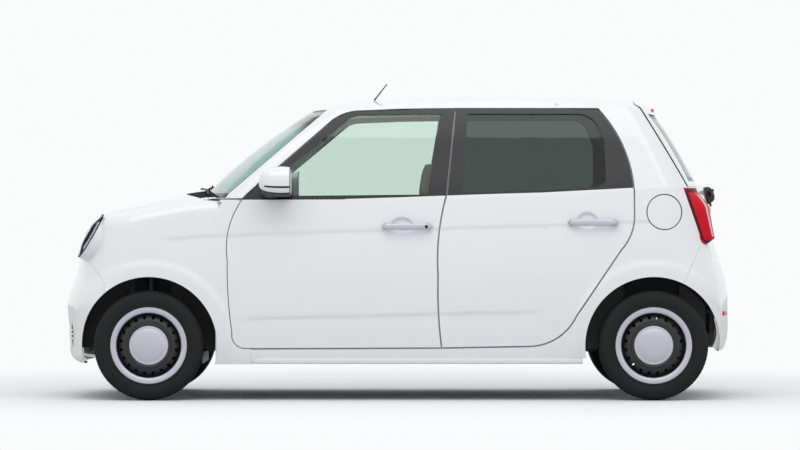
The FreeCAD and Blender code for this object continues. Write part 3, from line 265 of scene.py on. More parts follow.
def pressing(x, z):
    """How far the side stands out from the smooth form at this place."""
    out = fold(x, z, SHOULDER_LINE, 0.055) + fold(x, z, LOWER_LINE, 0.070)
    for axle in (FRONT_AXLE, REAR_AXLE):
        reach = math.hypot(x - axle.x, z - axle.z)
        out += FLARE_OUT * (1 - ease(FLARE_R - 0.004, FLARE_R + FLARE_FADES, reach)) * ease(0.17, 0.3, z)
    for cx, cz, half_x, half_z in CUPS:
        reach = math.hypot((x - cx) / half_x, (z - cz) / half_z)
        out -= CUP_DEPTH * (1 - ease(0.62, 1.0, reach))
    return out


print("under the shoulder line the side steps in by", round(-1000 * pressing(0.21, 0.850), 1), "mm")

# %% [markdown]
# ## Reading a CAD panel
# To press a panel, its outside has to be found first. The panel is read as plain lists,
# and a ray is shot at each face from the left: a face that the ray reaches before any
# other panel is one that shows. The shown faces hang together in patches, and each patch
# has closed outlines, which must not move, because the neighbours meet there.

# %% A panel as lists


class Panel:
    """A CAD node's points and faces, as lists that can be cut open and sewn up again."""

    def __init__(self, node):
        mesh = NODES[node].data
        mesh.calc_loop_triangles()
        self.points, self.faces, self.bend, self.skin = [], [], {}, set()
        place, same = {}, []
        for vertex in mesh.vertices:
            key = tuple(round(c, 5) for c in vertex.co)
            if key not in place:
                place[key] = len(self.points)
                self.points.append(Vector(key))
            same.append(place[key])
        corners = [n.vector.copy() for n in mesh.corner_normals]
        for tri in mesh.loop_triangles:
            ids = [same[i] for i in tri.vertices]
            if len(set(ids)) == 3:
                self.bend[len(self.faces)] = [corners[i] for i in tri.loops]
                self.faces.append(ids)

    def mirror(self):
        for point in self.points:
            point.y = -point.y
        for face in self.faces:
            face.reverse()
        for normals in self.bend.values():
            normals.reverse()
            for n in normals:
                n.y = -n.y

    def normal(self, face):
        a, b, c = (self.points[i] for i in face[:3])
        return (b - a).cross(c - a).normalized()

    def centre(self, face):
        return sum((self.points[i] for i in face), Vector()) / len(face)


print("a panel class is ready")

# %% Doors without their plain grips
FROM_LEFT = Vector((0, 1, 0))
BESIDE_Y = -1.3
GRIP_REACH = (0.14, 0.03)
GRIP_CLEAR = 0.05


def ray_start(x, z):
    """A place beside the car, from where rays are shot at its left flank."""
    return Vector((x, BESIDE_Y, z))


def drop_handle(panel, handle):
    """Takes the plain grip off a door, since a finer one is fitted later."""
    cx, cz = handle
    tree = BVHTree.FromPolygons(panel.points, panel.faces)

    def is_grip(face):
        mid = panel.centre(face)
        if abs(mid.x - cx) > GRIP_REACH[0] or abs(mid.z - cz) > GRIP_REACH[1]:
            return False
        over = tree.ray_cast(ray_start(mid.x, cz + GRIP_CLEAR), FROM_LEFT)[0].y
        under = tree.ray_cast(ray_start(mid.x, cz - GRIP_CLEAR), FROM_LEFT)[0].y
        surface = under + (over - under) * (mid.z - cz + GRIP_CLEAR) / (2 * GRIP_CLEAR)
        return mid.y < surface - 0.001

    kept = [i for i, face in enumerate(panel.faces) if not is_grip(face)]
    panel.bend = {n: panel.bend[i] for n, i in enumerate(kept)}
    panel.faces = [panel.faces[i] for i in kept]


DOORS = {name: Panel(name + "_left") for name in HANDLES}
for name, grip in HANDLES.items():
    drop_handle(DOORS[name], grip)
print("door faces left", {name: len(door.faces) for name, door in DOORS.items()})

# %% What a person on the left sees
HIDDEN_FROM_SIDE = ("_right", "tyre", "wheel", "seat", "axle", "suspension", "engine", "mirror")
FACES_LEFT = -0.3
SAME_SURFACE = 0.0008


def whole_side():
    """Every outer panel's faces in one search tree, seen from the left."""
    points, faces = [], []
    for name in NODES:
        if any(word in name for word in HIDDEN_FROM_SIDE):
            continue
        door = DOORS.get(name.replace("_left", ""))
        start = len(points)
        mesh = NODES[name].data
        mesh.calc_loop_triangles()
        points += door.points if door else [v.co.copy() for v in mesh.vertices]
        corners = door.faces if door else [t.vertices for t in mesh.loop_triangles]
        faces += [[start + i for i in face] for face in corners]
    return BVHTree.FromPolygons(points, faces)


SIDE_TREE = whole_side()


def outside_faces(panel):
    """The faces that a person standing on the left sees, as a set of indices."""
    seen = set()
    for i, face in enumerate(panel.faces):
        if len(face) != 3 or i not in panel.bend or panel.normal(face).y > FACES_LEFT:
            continue
        mid = panel.centre(face)
        hit = SIDE_TREE.ray_cast(ray_start(mid.x, mid.z), FROM_LEFT)[0]
        if hit is not None and mid.y < -0.1 and abs(mid.y - hit.y) < SAME_SURFACE:
            seen.add(i)
    return seen


print("faces that show on the front door", len(outside_faces(DOORS["front_door"])))

# %% Outlines and patches


SMALLEST_PATCH = 0.05


def rims(panel, seen):
    """The closed outlines of the seen faces, as rings of point indices."""
    follows = {}
    edges = set()
    for i in seen:
        a, b, c = panel.faces[i]
        edges |= {(a, b), (b, c), (c, a)}
    for a, b in edges:
        if (b, a) not in edges:
            follows.setdefault(a, []).append(b)
    rings = []
    while follows:
        start = next(iter(follows))
        ring, here = [start], start
        while True:
            there = follows[here].pop()
            if not follows[here]:
                del follows[here]
            if there == start:
                break
            ring.append(there)
            here = there
            if here not in follows:
                break
        rings.append(ring)
    return [ring for ring in rings if len(ring) > 2]


def spread(panel, found):
    """How far a group of faces reaches, corner to corner."""
    corners = [panel.points[i] for face in found for i in panel.faces[face]]
    low, high = (Vector(map(way, *corners)) for way in (min, max))
    return (high - low).length


def patches(panel, seen):
    """The seen faces in groups that hang together, above the belt and below it."""
    beside = {}
    for i in seen:
        a, b, c = panel.faces[i]
        mid = panel.centre(panel.faces[i])
        high = mid.z > along(LEDGE_LINE, mid.x)
        for edge in ((a, b), (b, c), (c, a)):
            beside.setdefault((min(edge), max(edge), high), []).append(i)
    group = {i: i for i in seen}

    def root(i):
        while group[i] != i:
            group[i] = group[group[i]]
            i = group[i]
        return i

    for pair in beside.values():
        for other in pair[1:]:
            group[root(other)] = root(pair[0])
    result = {}
    for i in seen:
        result.setdefault(root(i), set()).add(i)
    return [found for found in result.values() if spread(panel, found) > SMALLEST_PATCH]


print("patches on the front door", len(patches(DOORS["front_door"], outside_faces(DOORS["front_door"]))))

# %% [markdown]
# ## Laying the net
# Inside each patch's outline goes a fine net. More knots go along the creases, the flares
# and the handle cups, where the form changes fast, and the belt is a row of joined knots,
# so that paint meets black along one clean edge. A Delaunay net over the knots gives
# triangles without slivers, which a plain grid cut at the outline wouldn't.

# %% Finer outlines
STEP = 0.012
CORNER_TURN = 0.35


def finer(panel, ring):
    """More points along an outline, on a smooth curve except at corners."""
    count = len(ring)
    at = [panel.points[i] for i in ring]
    turn = []
    for i in range(count):
        before, after = at[i] - at[i - 1], at[(i + 1) % count] - at[i]
        bad = before.length < 1e-6 or after.length < 1e-6
        turn.append(math.pi if bad else before.angle(after))
    runs = []
    for i in range(count):
        j = (i + 1) % count
        a, b = at[i], at[j]
        long = (b - a).length
        parts = max(1, math.ceil(long / STEP))
        out_a = (b - at[i - 1]).normalized() * long if turn[i] < CORNER_TURN else b - a
        in_b = (at[(j + 1) % count] - a).normalized() * long if turn[j] < CORNER_TURN else b - a
        run = []
        for k in range(1, parts):
            t = k / parts
            run.append(
                a * (2 * t**3 - 3 * t**2 + 1) + out_a * (t**3 - 2 * t**2 + t)
                + b * (3 * t**2 - 2 * t**3) + in_b * (t**3 - t**2)
            )
        runs.append(run)
    return runs


def inside_outline(xz, segments):
    """True for each place that lies inside the outlines, counted by crossings."""
    a, b = segments[:, 0], segments[:, 1]
    result = np.zeros(len(xz), bool)
    for n, (x, z) in enumerate(xz):
        across = (a[:, 1] > z) != (b[:, 1] > z)
        with np.errstate(divide="ignore", invalid="ignore"):
            cut = a[:, 0] + (z - a[:, 1]) * (b[:, 0] - a[:, 0]) / (b[:, 1] - a[:, 1])
        result[n] = np.count_nonzero(across & (cut > x)) % 2 == 1
    return result


print("an outline gets a place at least every", round(1000 * STEP), "mm")

# %% Knots of the net
NET = 0.016
ROW_SHARE = 0.87
KNOT_GAP = 0.0045
ROUNDING = 0.75
MOST_ROUNDING = 0.002
NEAR_SKIN_Y = -0.72


def extra_knots(low, high):
    """Rows of knots along the creases, the flares and the handle cups."""
    knots = []
    for line in (SHOULDER_LINE, LOWER_LINE):
        for x in np.arange(line[0][0], line[-1][0], STEP):
            knots += [(x, along(line, x) + d) for d in (0.0015, -0.0035, -0.012)]
    for axle in (FRONT_AXLE, REAR_AXLE):
        for radius in (0.393, 0.404, 0.416, 0.428):
            for angle in np.arange(-0.5, math.pi + 0.5, STEP / radius):
                knots.append((axle.x + radius * math.cos(angle), axle.z + radius * math.sin(angle)))
    for cx, cz, half_x, half_z in CUPS:
        for u in np.arange(-1.1, 1.1, 0.09):
            knots += [(cx + u * half_x, cz + v * half_z) for v in np.arange(-1.1, 1.1, 0.11)]
    return [k for k in knots if low[0] < k[0] < high[0] and low[1] < k[1] < high[1]]


def loop_edges(first, count):
    """Pairs of numbers that join a run of places into a closed loop."""
    return [(first + k, first + (k + 1) % count) for k in range(count)]


def triangles_inside(places, triangles, segments):
    """The triangles whose middles lie inside the outlines."""
    mids = [(sum(places[i].x for i in t) / 3, sum(places[i].y for i in t) / 3) for t in triangles]
    return [t for t, ok in zip(triangles, inside_outline(mids, segments)) if ok]


def surface_reader(panel, seen):
    """A function that gives the CAD surface's y at a place, with its roundness kept."""
    surface = [panel.faces[i] for i in seen]
    bend = [panel.bend[i] for i in seen]
    tree = BVHTree.FromPolygons(panel.points, surface)

    def on_surface(x, z):
        hit, _, i, _ = tree.ray_cast(ray_start(x, z), FROM_LEFT)
        if hit is None:
            return tree.find_nearest(Vector((x, NEAR_SKIN_Y, z)))[0].y
        corners = [panel.points[k] for k in surface[i]]
        rounded = Vector()
        for weight, corner, normal in zip(poly_3d_calc(corners, hit), corners, bend[i]):
            rounded += weight * (hit - (hit - corner).dot(normal) * normal)
        return hit.y + ROUNDING * max(-MOST_ROUNDING, min(MOST_ROUNDING, rounded.y - hit.y))

    return on_surface


def knots_inside(segments, rim, lines):
    """Knots inside the outline, those on the lines first, then the plain net."""
    low, high = segments.min((0, 1)), segments.max((0, 1))
    knots = lines + extra_knots(low, high)
    for row in range(int((high[1] - low[1]) / (NET * ROW_SHARE)) + 1):
        z = low[1] + row * NET * ROW_SHARE
        knots += [(x, z) for x in np.arange(low[0] + (row % 2) * NET / 2, high[0], NET)]
    keep, cells = [], {}
    for ok, (x, z) in zip(inside_outline(knots, segments), knots):
        if not ok or rim.find((x, z, 0))[2] < KNOT_GAP:
            continue
        cell = (int(x // KNOT_GAP), int(z // KNOT_GAP))
        near = [cells.get((cell[0] + i, cell[1] + j)) for i in (-1, 0, 1) for j in (-1, 0, 1)]
        if any(k and math.hypot(x - k[0], z - k[1]) < KNOT_GAP for k in near):
            continue
        cells[cell] = (x, z)
        keep.append((x, z))
    return keep


print("knots along the creases, flares and cups", len(extra_knots((-2, 0), (2, 2))))

# %% The net over one patch
SMALLEST_RIM = 0.03
BELT_FROM, BELT_TO, BELT_STEP = -0.83, 1.21, 0.008
BELT_JOIN = 0.02


def net_over(panel, seen, splits, belt):
    """The fine net over one patch: its triangles, with new points added to the panel."""
    on_surface = surface_reader(panel, list(seen))
    flat, ids, joins = [], [], []
    for ring in rims(panel, seen):
        if max((panel.points[i] - panel.points[ring[0]]).length for i in ring) <= SMALLEST_RIM:
            continue
        runs = finer(panel, ring)
        loop = []
        for k, start in enumerate(ring):
            end = ring[(k + 1) % len(ring)]
            if (end, start) in splits:
                new = list(reversed(splits[(end, start)]))
            else:
                new = list(range(len(panel.points), len(panel.points) + len(runs[k])))
                panel.points += runs[k]
                splits[(start, end)] = new
            loop += [start] + new
        joins += loop_edges(len(flat), len(loop))
        flat += [Vector((panel.points[i].x, panel.points[i].z)) for i in loop]
        ids += loop
    segments = np.array([[flat[a], flat[b]] for a, b in joins])
    rim = KDTree(len(flat))
    for k, p in enumerate(flat):
        rim.insert((p.x, p.y, 0), k)
    rim.balance()
    lines = [(x, along(BELT_LINE, x)) for x in np.arange(BELT_FROM, BELT_TO, BELT_STEP)] if belt else []
    on_belt = set(lines)
    last = None
    for x, z in knots_inside(segments, rim, lines):
        if (x, z) in on_belt:
            if last is not None and x - flat[last].x < BELT_JOIN:
                joins.append((last, len(flat)))
            last = len(flat)
        flat.append(Vector((x, z)))
        ids.append(len(panel.points))
        panel.points.append(Vector((x, on_surface(x, z), z)))
    out, _, triangles, source, _, _ = delaunay_2d_cdt(flat, joins, [], 0, 1e-6)
    back = []
    for k, p in enumerate(out):
        back.append(ids[source[k][0]] if source[k] else len(panel.points))
        if not source[k]:
            panel.points.append(Vector((p.x, on_surface(p.x, p.y), p.y)))
    net = [[back[i] for i in t] for t in triangles_inside(out, triangles, segments)]
    net = [t for t in net if len(set(t)) == 3]
    for t in net:
        if panel.normal(t).y > 0:
            t.reverse()
    return net


print("a net maker is ready")

# %% Sewing the net to the panel


def press(panel, belt=False):
    """Replaces the outside faces of the left side by a fine pressed net."""
    groups = patches(panel, outside_faces(panel))
    splits, nets = {}, []
    for seen in groups:
        nets += net_over(panel, seen, splits, belt)
    gone = set().union(*groups)
    bend, sewn = {}, []
    for i, face in enumerate(panel.faces):
        if i in gone:
            continue
        ring = []
        for k, a in enumerate(face):
            ring.append(a)
            ring += list(reversed(splits.get((face[(k + 1) % len(face)], a), [])))
        if len(ring) == 3 and i in panel.bend:
            bend[len(sewn)] = panel.bend[i]
        sewn.append(ring)
    panel.bend = bend
    panel.faces = sewn + nets
    for i in {i for t in nets for i in t}:
        panel.points[i].y -= pressing(panel.points[i].x, panel.points[i].z)
    return len(nets)


print("panels can be pressed")

# %% [markdown]
# ## Making pieces
# Every piece from here on ends as one mesh object: its places, its faces, the number of
# each face's finish, smooth shading, and edges kept sharp where the form turns quickly. A
# piece for the other side of the car is a mirrored copy with its faces turned about.

# %% A piece from lists


def new_piece(name, points, faces, materials, which=None, crease=35, turn_out=False):
    """A smooth-shaded object; which gives the number of each face's finish."""
    mesh = bpy.data.meshes.new(name)
    mesh.from_pydata([tuple(p) for p in points], [], faces)
    for material in materials:
        mesh.materials.append(material)
    for k, polygon in enumerate(mesh.polygons):
        polygon.use_smooth = True
        polygon.material_index = which[k] if which else 0
    mesh.validate()
    if turn_out:
        net = bmesh.new()
        net.from_mesh(mesh)
        bmesh.ops.recalc_face_normals(net, faces=net.faces)
        net.to_mesh(mesh)
        net.free()
    mesh.set_sharp_from_angle(angle=math.radians(crease))
    thing = bpy.data.objects.new(name, mesh)
    scene.collection.objects.link(thing)
    return thing


def twin_of(thing, name):
    """The same piece, mirrored for the right side of the car."""
    mesh = thing.data.copy()
    mesh.transform(Matrix.Scale(-1, 4, (0, 1, 0)))
    mesh.flip_normals()
    twin = bpy.data.objects.new(name, mesh)
    scene.collection.objects.link(twin)
    return twin


print("a maker of pieces is ready")

# %% [markdown]
# ## The painted panels and doors
# Doors, wings, body sides and bumpers are the pieces that carry the creases. A door has
# three finishes: paint below the belt, black frame above it, and trim inside.

# %% The pressed panels


def pressed(node, body, materials, choose=None, hands=(LEFT,), panel=None):
    """Presses a node's outside, on the left, the right or both, and rides it on its body."""
    belt = panel is not None
    panel = panel or Panel(node)
    total = 0
    for hand in hands:
        if hand == RIGHT:
            panel.mirror()
        total += press(panel, belt)
        if hand == RIGHT:
            panel.mirror()
    which = [choose(panel, face) for face in panel.faces] if choose else None
    thing = new_piece(node + "_pressed", panel.points, panel.faces, materials, which, crease=32)
    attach(thing, body)
    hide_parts(node)
    print(thing.name, len(panel.faces), "faces, pressed", total)
    return thing


def right_twin(thing, body, node):
    twin = twin_of(thing, thing.name.replace("left", "right"))
    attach(twin, body)
    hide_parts(node)


def door_finish(panel, face):
    """Paint below the belt, black above it, and trim on the inside."""
    mid = panel.centre(face)
    if mid.z > along(BELT_LINE, mid.x):
        return 1
    return 2 if panel.normal(face).y > 0.5 else 0


for name in HANDLES:
    door = pressed(name + "_left", name + "_left", [PAINT, SASH, TRIM], door_finish, panel=DOORS[name])
    right_twin(door, name + "_right", name + "_right")
wing = pressed("wing_left", "body", [PAINT])
right_twin(wing, "body", "wing_right")
for side in (LEFT, RIGHT):
    pressed("body_side_" + NAMES[side], "body", [PAINT], hands=(side,))
for bumper in ("front_bumper", "rear_bumper"):
    pressed(bumper, "body", [PAINT], hands=(LEFT, RIGHT))

# %% [markdown]
# ## Parts turned on a lathe
# Tyres, rims and hub caps are the same all the way round, so each is one profile swept
# about the axle. The profile is a short list of (radius, offset) places, with positive
# offset towards the outside of the car.

# %% A lathe


def round_angles(steps, shift=0.0):
    """Equal angles once round a circle, in radians."""
    return [2 * math.pi * (k + shift) / steps for k in range(steps)]


def turned(name, profile, centre, steps, material, outward):
    """Sweeps (radius, offset) places about the axle."""
    points, faces = [], []
    for angle in round_angles(steps):
        for radius, offset in profile:
            points.append((centre.x + radius * math.sin(angle), centre.y + outward * offset,
                           centre.z + radius * math.cos(angle)))
    rows = len(profile)
    for k in range(steps):
        n = (k + 1) % steps
        for r in range(rows - 1):
            face = [k * rows + r, n * rows + r, n * rows + r + 1, k * rows + r + 1]
            faces.append(face if outward == RIGHT else face[::-1])
    return new_piece(name, points, faces, [material])


def merged(name, things):
    """One object out of several meshes, with their finishes."""
    points, faces, which, materials = [], [], [], []
    for thing in things:
        start = len(points)
        points += [tuple(v.co) for v in thing.data.vertices]
        materials += [m for m in thing.data.materials if m not in materials]
        for polygon in thing.data.polygons:
            faces.append([start + i for i in polygon.vertices])
            which.append(materials.index(thing.data.materials[polygon.material_index]))
        bpy.data.objects.remove(thing)
    return new_piece(name, points, faces, materials, which)


print("a lathe and a joiner are ready")

# %% [markdown]
# ## Tyres
# A low, square-shouldered tyre: a bead that hugs the rim, a bulging sidewall with a
# rim guard and a faint step, and a tread with three grooves round it and slots across
# the shoulders. The slots are real dips in the mesh, made by moving each slot's points in.

# %% Tyre
DRAWN_TYRE_R = 0.275
TREAD_STEPS = 288
SLOT_EVERY = 4
SLOT_DEPTH = 0.0045
TREAD_FLOOR_R = 0.2655
INNER_SLOTS = (0.0045, 0.034)
SHOULDER_SLOTS = (0.0415, 0.068)
BEAD = [(0.172, 0.050), (0.180, 0.058), (0.188, 0.0625)]
RIM_GUARD = [(0.1945, 0.0700), (0.1965, 0.0735), (0.200, 0.0735), (0.202, 0.0722)]
FLANK_TO_MIDDLE = [
    (0.208, 0.0745), (0.222, 0.0775), (0.238, 0.0770), (0.250, 0.0745), (0.258, 0.0722),
    (0.2595, 0.0705), (0.2665, 0.0665), (0.2715, 0.0600), (0.2730, 0.0500), (0.2737, 0.0420),
    (0.2667, 0.0405), (0.2667, 0.0345), (0.2738, 0.0330), (0.2743, 0.0180), (0.2745, 0.0050),
    (0.2672, 0.0035),
]
INNER_HALF = [(radius, -offset) for radius, offset in BEAD + [(0.196, 0.0690)] + FLANK_TO_MIDDLE]
OUTER_HALF = (BEAD + RIM_GUARD + FLANK_TO_MIDDLE)[::-1]


def is_slot(k, radius, offset):
    """Whether step k of the tread has a slot at this place of the profile."""
    across = abs(offset)
    inner = INNER_SLOTS[0] < across < INNER_SLOTS[1] and k % SLOT_EVERY == (0 if offset > 0 else 2)
    shoulder = SHOULDER_SLOTS[0] < across < SHOULDER_SLOTS[1] and (k + 2) % SLOT_EVERY == 0
    return (inner or shoulder) and radius > TREAD_FLOOR_R


def tyre(place, front):
    side = LEFT if place.y < 0 else RIGHT
    profile = [(r * TYRE_R / DRAWN_TYRE_R, o) for r, o in INNER_HALF + OUTER_HALF]
    thing = turned(f"{front}_tyre_with_tread_{NAMES[side]}", profile, place, TREAD_STEPS, RUBBER, side)
    for k in range(TREAD_STEPS):
        for r, (radius, offset) in enumerate(profile):
            if is_slot(k, radius, offset):
                point = thing.data.vertices[k * len(profile) + r]
                middle = Vector((place.x, point.co.y, place.z))
                point.co = middle + (point.co - middle) * (1 - SLOT_DEPTH / radius)
    return thing


print("tyre profile of", len(INNER_HALF + OUTER_HALF), "places")

# %% [markdown]
# ## Steel wheels
# The disc is pressed steel, painted black, with a ring of round holes. A bright trim ring
# sits on the rim's edge, and a domed satin cap covers the nuts. The cap's middle is bare.

# %% Wheel disc
HOLES = 20
HOLE_RING_R = 0.140
HOLE_R = 0.0095
HOLE_STEPS = 12
HOLE_DEPTH = 0.006
RIM_STEPS = 6 * HOLES
DISC_INNER_R, DISC_OUTER_R = 0.112, 0.158
DISC_CURVE = [(DISC_INNER_R, 0.0535), (0.122, 0.0540), (0.134, 0.0500), (0.150, 0.0390),
              (DISC_OUTER_R, 0.0300)]


def circle(radius, steps, shift=0.0, centre=(0.0, 0.0)):
    """Places round a circle in side view."""
    return [Vector((centre[0] + radius * math.sin(a), centre[1] + radius * math.cos(a)))
            for a in round_angles(steps, shift)]


def holed_disc(name, place, side):
    """The wheel disc: a net in polar form, with the holes left open and given depth."""
    loops = [circle(radius, RIM_STEPS) for radius in (DISC_OUTER_R, DISC_INNER_R)]
    loops += [circle(HOLE_R, HOLE_STEPS, centre=middle) for middle in circle(HOLE_RING_R, HOLES, 0.5)]
    flat, joins = [], []
    for loop in loops:
        joins += loop_edges(len(flat), len(loop))
        flat += loop
    segments = np.array([[flat[a], flat[b]] for a, b in joins])
    for radius in (0.122, 0.1275, 0.1525):
        flat += circle(radius, HOLES * 4, 0.5)
    out, _, triangles, _, _, _ = delaunay_2d_cdt(flat, joins, [], 0, 1e-7)
    points = [(place.x + p.x, place.y + side * along(DISC_CURVE, p.length), place.z + p.y) for p in out]
    faces = [list(t) if side == LEFT else list(reversed(t))
             for t in triangles_inside(out, triangles, segments)]
    for hole in range(HOLES):
        first, start = len(points), 2 * RIM_STEPS + hole * HOLE_STEPS
        points += [(x, y - side * HOLE_DEPTH, z) for x, y, z in points[start:start + HOLE_STEPS]]
        for a, b in loop_edges(0, HOLE_STEPS):
            faces.append([start + a, start + b, first + b, first + a])
    return new_piece(name, points, faces, [SATIN_BLACK_STEEL], crease=40)


print("holes in a wheel disc", HOLES)

# %% Wheel
RING_PROFILE = [(0.1925, 0.0590), (0.1938, 0.0630), (0.1905, 0.0660), (0.1840, 0.0668), (0.1740, 0.0662),
                (0.1670, 0.0640), (0.1630, 0.0600), (0.1615, 0.0525)]
BARREL_PROFILE = [(0.1930, 0.0580), (0.1780, 0.0540), (0.1640, 0.0500), (0.1610, 0.0420), (0.1580, 0.0300)]
BACK_PROFILE = [(0.1560, 0.0280), (0.1560, -0.0300), (0.1700, -0.0500), (0.1800, -0.0580), (0.1930, -0.0620)]
COLLAR_PROFILE = [(0.1150, 0.0530), (0.1125, 0.0575), (0.1085, 0.0590), (0.1035, 0.0575), (0.0980, 0.0535)]
CAP_PROFILE = [
    (0.0985, 0.0540), (0.0980, 0.0580), (0.0955, 0.0608), (0.0900, 0.0620),
    (0.0840, 0.0613), (0.0815, 0.0622), (0.0740, 0.0655), (0.0620, 0.0682),
    (0.0470, 0.0702), (0.0300, 0.0713), (0.0120, 0.0718), (0.0001, 0.0719),
]


def wheel(place, front):
    side = LEFT if place.y < 0 else RIGHT
    body = f"{front}_wheel_{NAMES[side]}"
    pieces = [
        turned("ring", RING_PROFILE, place, 96, SILVER, side),
        turned("barrel", BARREL_PROFILE, place, 96, SATIN_BLACK_STEEL, side),
        turned("back", BACK_PROFILE, place, 72, SATIN_BLACK_STEEL, side),
        holed_disc("disc", place, side),
        turned("collar", COLLAR_PROFILE, place, 72, SATIN_BLACK_STEEL, side),
        turned("cap", CAP_PROFILE, place, 72, SILVER, side),
    ]
    dressed = merged(f"{front}_wheel_ring_and_cap_{NAMES[side]}", pieces)
    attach(dressed, body)
    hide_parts(body)
    rubber = tyre(place, front)
    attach(rubber, body)
    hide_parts(f"{front}_tyre_{NAMES[side]}")


for front in ("front", "rear"):
    for side in (LEFT, RIGHT):
        wheel(middle_of(f"{front}_wheel_{NAMES[side]}"), front)
print("wheels and tyres made")

# %% [markdown]
# ## Small shapes
# Handles, mirrors and lamps need a few soft shapes: a bar that follows a path with an
# oval section, a shell over a row of outlines, and a profile turned about any axis. All
# are made from plain lists of places, so nothing here is a stock cube or ball.

# %% Small shape makers
UP = Vector((0, 0, 1))


def squarer(value, power):
    """A sine or cosine made fuller, which turns a circle into a soft square."""
    return math.copysign(abs(value) ** power, value)


def strips(rows, row, closed=False):
    """Faces between rows of places; closed rows run on from their last place to the first."""
    return [[r * row + n, r * row + (n + 1) % row, (r + 1) * row + (n + 1) % row, (r + 1) * row + n]
            for r in range(rows - 1) for n in range(row if closed else row - 1)]


def shape(name, points, faces, material, crease=40, which=None):
    """A smooth-shaded piece, with its faces turned outward."""
    materials = material if isinstance(material, list) else [material]
    return new_piece(name, points, faces, materials, which, crease, turn_out=True)


def rings(name, outlines, material, ends=True, crease=40):
    """A skin over a row of closed outlines that all have the same number of points."""
    count = len(outlines[0])
    faces = strips(len(outlines), count, closed=True)
    if ends:
        faces.append(list(range(count))[::-1])
        faces.append([(len(outlines) - 1) * count + n for n in range(count)])
    return shape(name, [p for outline in outlines for p in outline], faces, material, crease)


def sweep_bar(name, path, widths, heights, material, around=16, across=UP, power=2.6):
    """A closed bar along a path; each place has its own half width and half height."""
    outlines = []
    path = [Vector(p) for p in path]
    for k, place in enumerate(path):
        forward = (path[min(k + 1, len(path) - 1)] - path[max(k - 1, 0)]).normalized()
        side = forward.cross(across).normalized()
        up = side.cross(forward).normalized()
        outlines.append([place + side * widths[k] * squarer(math.cos(a), 2 / power)
                         + up * heights[k] * squarer(math.sin(a), 2 / power) for a in round_angles(around)])
    return rings(name, outlines, material)


print("makers of bars and shells are ready")

# %% Pieces round an axis, and pieces for both sides


def frame_across(axis):
    """Two directions at right angles to an axis and to each other."""
    first = axis.cross(UP).normalized()
    return first, axis.cross(first)


def hoop(centre, axis, radius, steps):
    """Places round a circle whose middle line is the axis."""
    first, second = frame_across(axis)
    return [centre + (first * math.cos(a) + second * math.sin(a)) * radius for a in round_angles(steps)]


def around_axis(name, origin, axis, profile, material, steps=72):
    """Sweeps (radius, distance along the axis) places round any axis."""
    outlines = [hoop(origin + axis * distance, axis, radius, steps) for radius, distance in profile]
    return rings(name, outlines, material, ends=False, crease=35)


def both_sides(thing, body="body", node=None):
    """Rides a left piece and its right twin. A name that ends in _ takes the side's name."""
    plain = thing.name.replace("_left", "")
    for side, one in ((LEFT, thing), (RIGHT, twin_of(thing, plain + "_right"))):
        one.name = f"{plain}_{NAMES[side]}"
        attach(one, body + NAMES[side] if body.endswith("_") else body)
        if node:
            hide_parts(node + NAMES[side])


def side_y(x, z):
    """Where the left flank's outer surface is."""
    return SIDE_TREE.ray_cast(ray_start(x, z), FROM_LEFT)[0].y


print("the left flank is at y =", round(side_y(0.5, 0.7), 3))

# %% [markdown]
# ## Door handles
# A satin bar stands off the door on two feet, over a shallow cup pressed in the panel.
# On the real door it is chromed or painted zinc, screwed on from behind.

# %% Door handles
GRIP_HALF = 0.125
GRIP_STANDS = 0.030
FOOT_AT = 0.104
BAR_STEPS = 16


def handle_foot(name, x, z):
    """A short oval foot from the panel to the bar."""
    face = side_y(x, z + 0.045) * 0.5 + side_y(x, z - 0.045) * 0.5
    levels = []
    for step, grow in ((0.004, 1.15), (-0.006, 1.0), (-0.020, 0.85)):
        levels.append([(x + 0.019 * grow * math.cos(a), face + step, z + 0.013 * grow * math.sin(a))
                       for a in round_angles(20)])
    return rings(name + "_foot", levels, BLACK)


def door_handle(name, cx, cz):
    under, over = side_y(cx, cz - 0.05), side_y(cx, cz + 0.05)
    path, wide, high = [], [], []
    for k in range(2 * BAR_STEPS + 1):
        t = k / BAR_STEPS - 1
        stand = GRIP_STANDS - 0.010 * abs(t) ** 3 - 0.012 * ease(0.9, 1.0, abs(t))
        path.append((cx + GRIP_HALF * t, under + (over - under) / 2 - stand, cz))
        taper = max(0.25, (1 - abs(t) ** 8)) ** 0.5
        wide.append(0.0065 * taper)
        high.append((0.0165 - 0.0015 * abs(t)) * taper)
    parts = [sweep_bar(name + "_bar", path, wide, high, SILVER, 18, power=2.4)]
    parts += [handle_foot(name, cx + end, cz) for end in (-FOOT_AT, FOOT_AT)]
    if name == "front_door":
        spot = Vector((cx + 0.096, path[28][1] - 0.0060, cz))
        lock = [(0.0085, -0.004), (0.0085, 0.001), (0.0060, 0.0015), (0.0004, 0.0010)]
        parts.append(around_axis(name + "_lock", spot, Vector((0, -1, 0)), lock, GLOSS_BLACK, 24))
    return merged(name + "_handle", parts)


for name, (grip_x, grip_z) in HANDLES.items():
    both_sides(door_handle(name, grip_x, grip_z), name + "_")
print("door handles made at", list(HANDLES.values()))

# %% [markdown]
# ## Door mirrors
# A body-coloured shell with a rounded back, a black lower cover, a thin dark lamp line,
# and a black foot on the corner of the window. The glass sits in a black rim behind.

# %% Door mirrors
MIRROR_X, MIRROR_Y, MIRROR_Z = -0.595, -0.815, 1.091
MIRROR_HALF_WIDE, MIRROR_HALF_HIGH = 0.098, 0.074
MIRROR_STEPS = 96
MIRROR_GLASS = finish("mirror_glass", (214, 218, 222), 0.02, 0.004, 3.0, metallic=1.0)
MIRROR_SQUARENESS = 0.72
MIRROR_DEPTHS = [(-0.093, 0.34), (-0.089, 0.52), (-0.080, 0.69), (-0.065, 0.83), (-0.042, 0.935),
                 (-0.012, 0.99), (0.020, 1.02), (0.048, 1.00), (0.060, 0.985), (0.0645, 0.955), (0.062, 0.90)]


